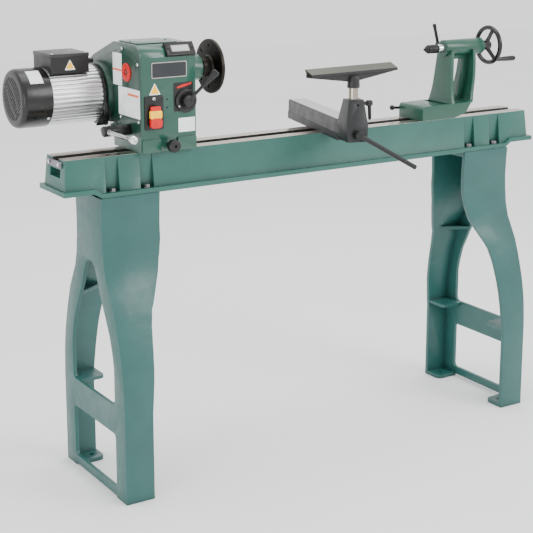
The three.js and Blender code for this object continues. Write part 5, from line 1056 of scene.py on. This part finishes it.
def handwheel():
    """A round rim on three spokes, melted into one casting and bored for its handle."""
    box = Box("handwheel")
    tube = 7 * MM
    ring = box.size.y / 2 - tube
    plane = box.lo.x + 35 * MM - 0.3 * MM
    hub = on_spindle(box.lo.x)
    bm = bmesh.new()
    section = [(ring + tube * math.cos(2 * math.pi * k / 20),
        plane - box.lo.x + tube * math.sin(2 * math.pi * k / 20)) for k in range(20)]
    turn(bm, hub, X, section, 96, 0)
    turn(bm, hub, X, mm((6.8, 0), (18, 0), (18, 7), (15.5, 13), (15, 34), (12, 38), (6.8, 38.6)), 64,
        1 * MM)
    grip = pivot("handle_spin")
    first = math.atan2(grip.z - SPINDLE.z, grip.y - SPINDLE.y)
    for k in range(3):
        angle = first + 2 * math.pi * k / 3
        out = Vector((0, math.cos(angle), math.sin(angle)))
        inner = on_spindle(plane - 10 * MM) + out * 11 * MM
        outer = on_spindle(plane) + out * ring
        span = (outer - inner).length
        turn(bm, inner, outer - inner, [(0, 0), (7 * MM, 0), (6 * MM, 0.5 * span), (6.4 * MM, span),
            (0, span)], 32, 0)
    made = piece("handwheel_fine", bm, GLOSS_BLACK, "handwheel", ["handwheel"])
    cast_together(made, 1.3 * MM, 5)
    bore = turn(bmesh.new(), Vector((plane - 3 * MM, grip.y, grip.z)), X,
        mm((0, 0), (4.4, 0), (4.4, 30), (0, 30)), 24, 0)
    carve(made, bore, 60)


def handwheel_handle():
    """The turning grip, and the screw in the wheel's hub."""
    grip = pivot("handle_spin")
    box = Box("handwheel_handle")
    stub = 10 * MM
    bm = turn(bmesh.new(), Vector((box.lo.x, grip.y, grip.z)), X, [(0, 0), (4 * MM, 0), (4 * MM, stub),
        (5.8 * MM, stub), (6.2 * MM, stub + 8 * MM), (7.4 * MM, stub + 30 * MM),
        (8 * MM, box.size.x - 16 * MM), (7.6 * MM, box.size.x - 3 * MM), (5 * MM, box.size.x),
        (0, box.size.x)], 48, 1.6 * MM)
    piece("handwheel_handle_fine", bm, GLOSS_BLACK, "handwheel_handle",
        ["handwheel_handle"])
    screw("handwheel_screw", on_spindle(box.lo.x + 9 * MM), X, 5 * MM, "handwheel",
        STEEL)


def quill_lock_lever():
    lock = pivot("quill_lock_turn")
    face = SPINDLE.y + 31.8 * MM
    hub = Vector((lock.x, face, lock.z))
    bm = turn(bmesh.new(), hub, Y, mm((0, -16), (5, -16), (5, 0), (8, 0), (8, 12), (6, 15.4), (0, 16)),
        40, 1 * MM)
    way = Vector((-16, 2, 64))
    turn(bm, hub + Y * 8 * MM, way, mm((0, 0), (6.6, 0), (4.6, 12), (4.8, 50), (5.6, 60), (5.6, 65),
        (0, 66)), 32, 1 * MM)
    piece("quill_lock_lever_fine", bm, BLACK_IRON, "quill_lock", ["quill_lock_lever"])


def tailstock_clamp_lever():
    """The clamp's shaft, its thin arm and its ball."""
    clamp = pivot("tailstock_clamp_turn")
    out = SPINDLE.y + 60 * MM
    hub = Vector((clamp.x, out, clamp.z))
    bm = turn(bmesh.new(), hub, Y, mm((0, -109), (8, -109), (8, 0), (12, 0), (12, 14), (10, 16), (0, 16)),
        40, 1 * MM)
    way = Vector((-76, 0, 6)) * MM
    turn(bm, hub + Y * 8 * MM, way, [(0, 0), (5 * MM, 0), (4 * MM, way.length), (0, way.length)], 32, 0)
    ball = [(8 * MM * math.sin(math.pi * k / 14),
        8 * MM - 8 * MM * math.cos(math.pi * k / 14)) for k in range(15)]
    ball[0], ball[-1] = (0, ball[0][1]), (0, ball[-1][1])
    turn(bm, hub + Y * 8 * MM + way - way.normalized() * 8 * MM, way, ball, 40, 0)
    piece("tailstock_clamp_lever_fine", bm, BLACK_IRON, "tailstock_clamp",
        ["tailstock_clamp_lever"])


camera()
studio()
castings()
leg_bolts()
stop_screws()
nameplate()
labels()
readout()
switch()
speed_plate()
speed_bezel()
speed_lever()
faceplate()
spindle()
spindle_end_ring()
index_plunger()
headstock_lock_shaft()
headstock_lock_lever()
belt_tension_knob()
front_plugs()
cover_screws()
motor_housing()
fan_cover()
fan_cover_label()
fan_cover_screw()
junction_box()
banjo_clamp_bar()
tool_rest_post()
post_lock_handle()
quill()
live_centre()
handwheel()
handwheel_handle()
quill_lock_lever()
tailstock_clamp_lever()
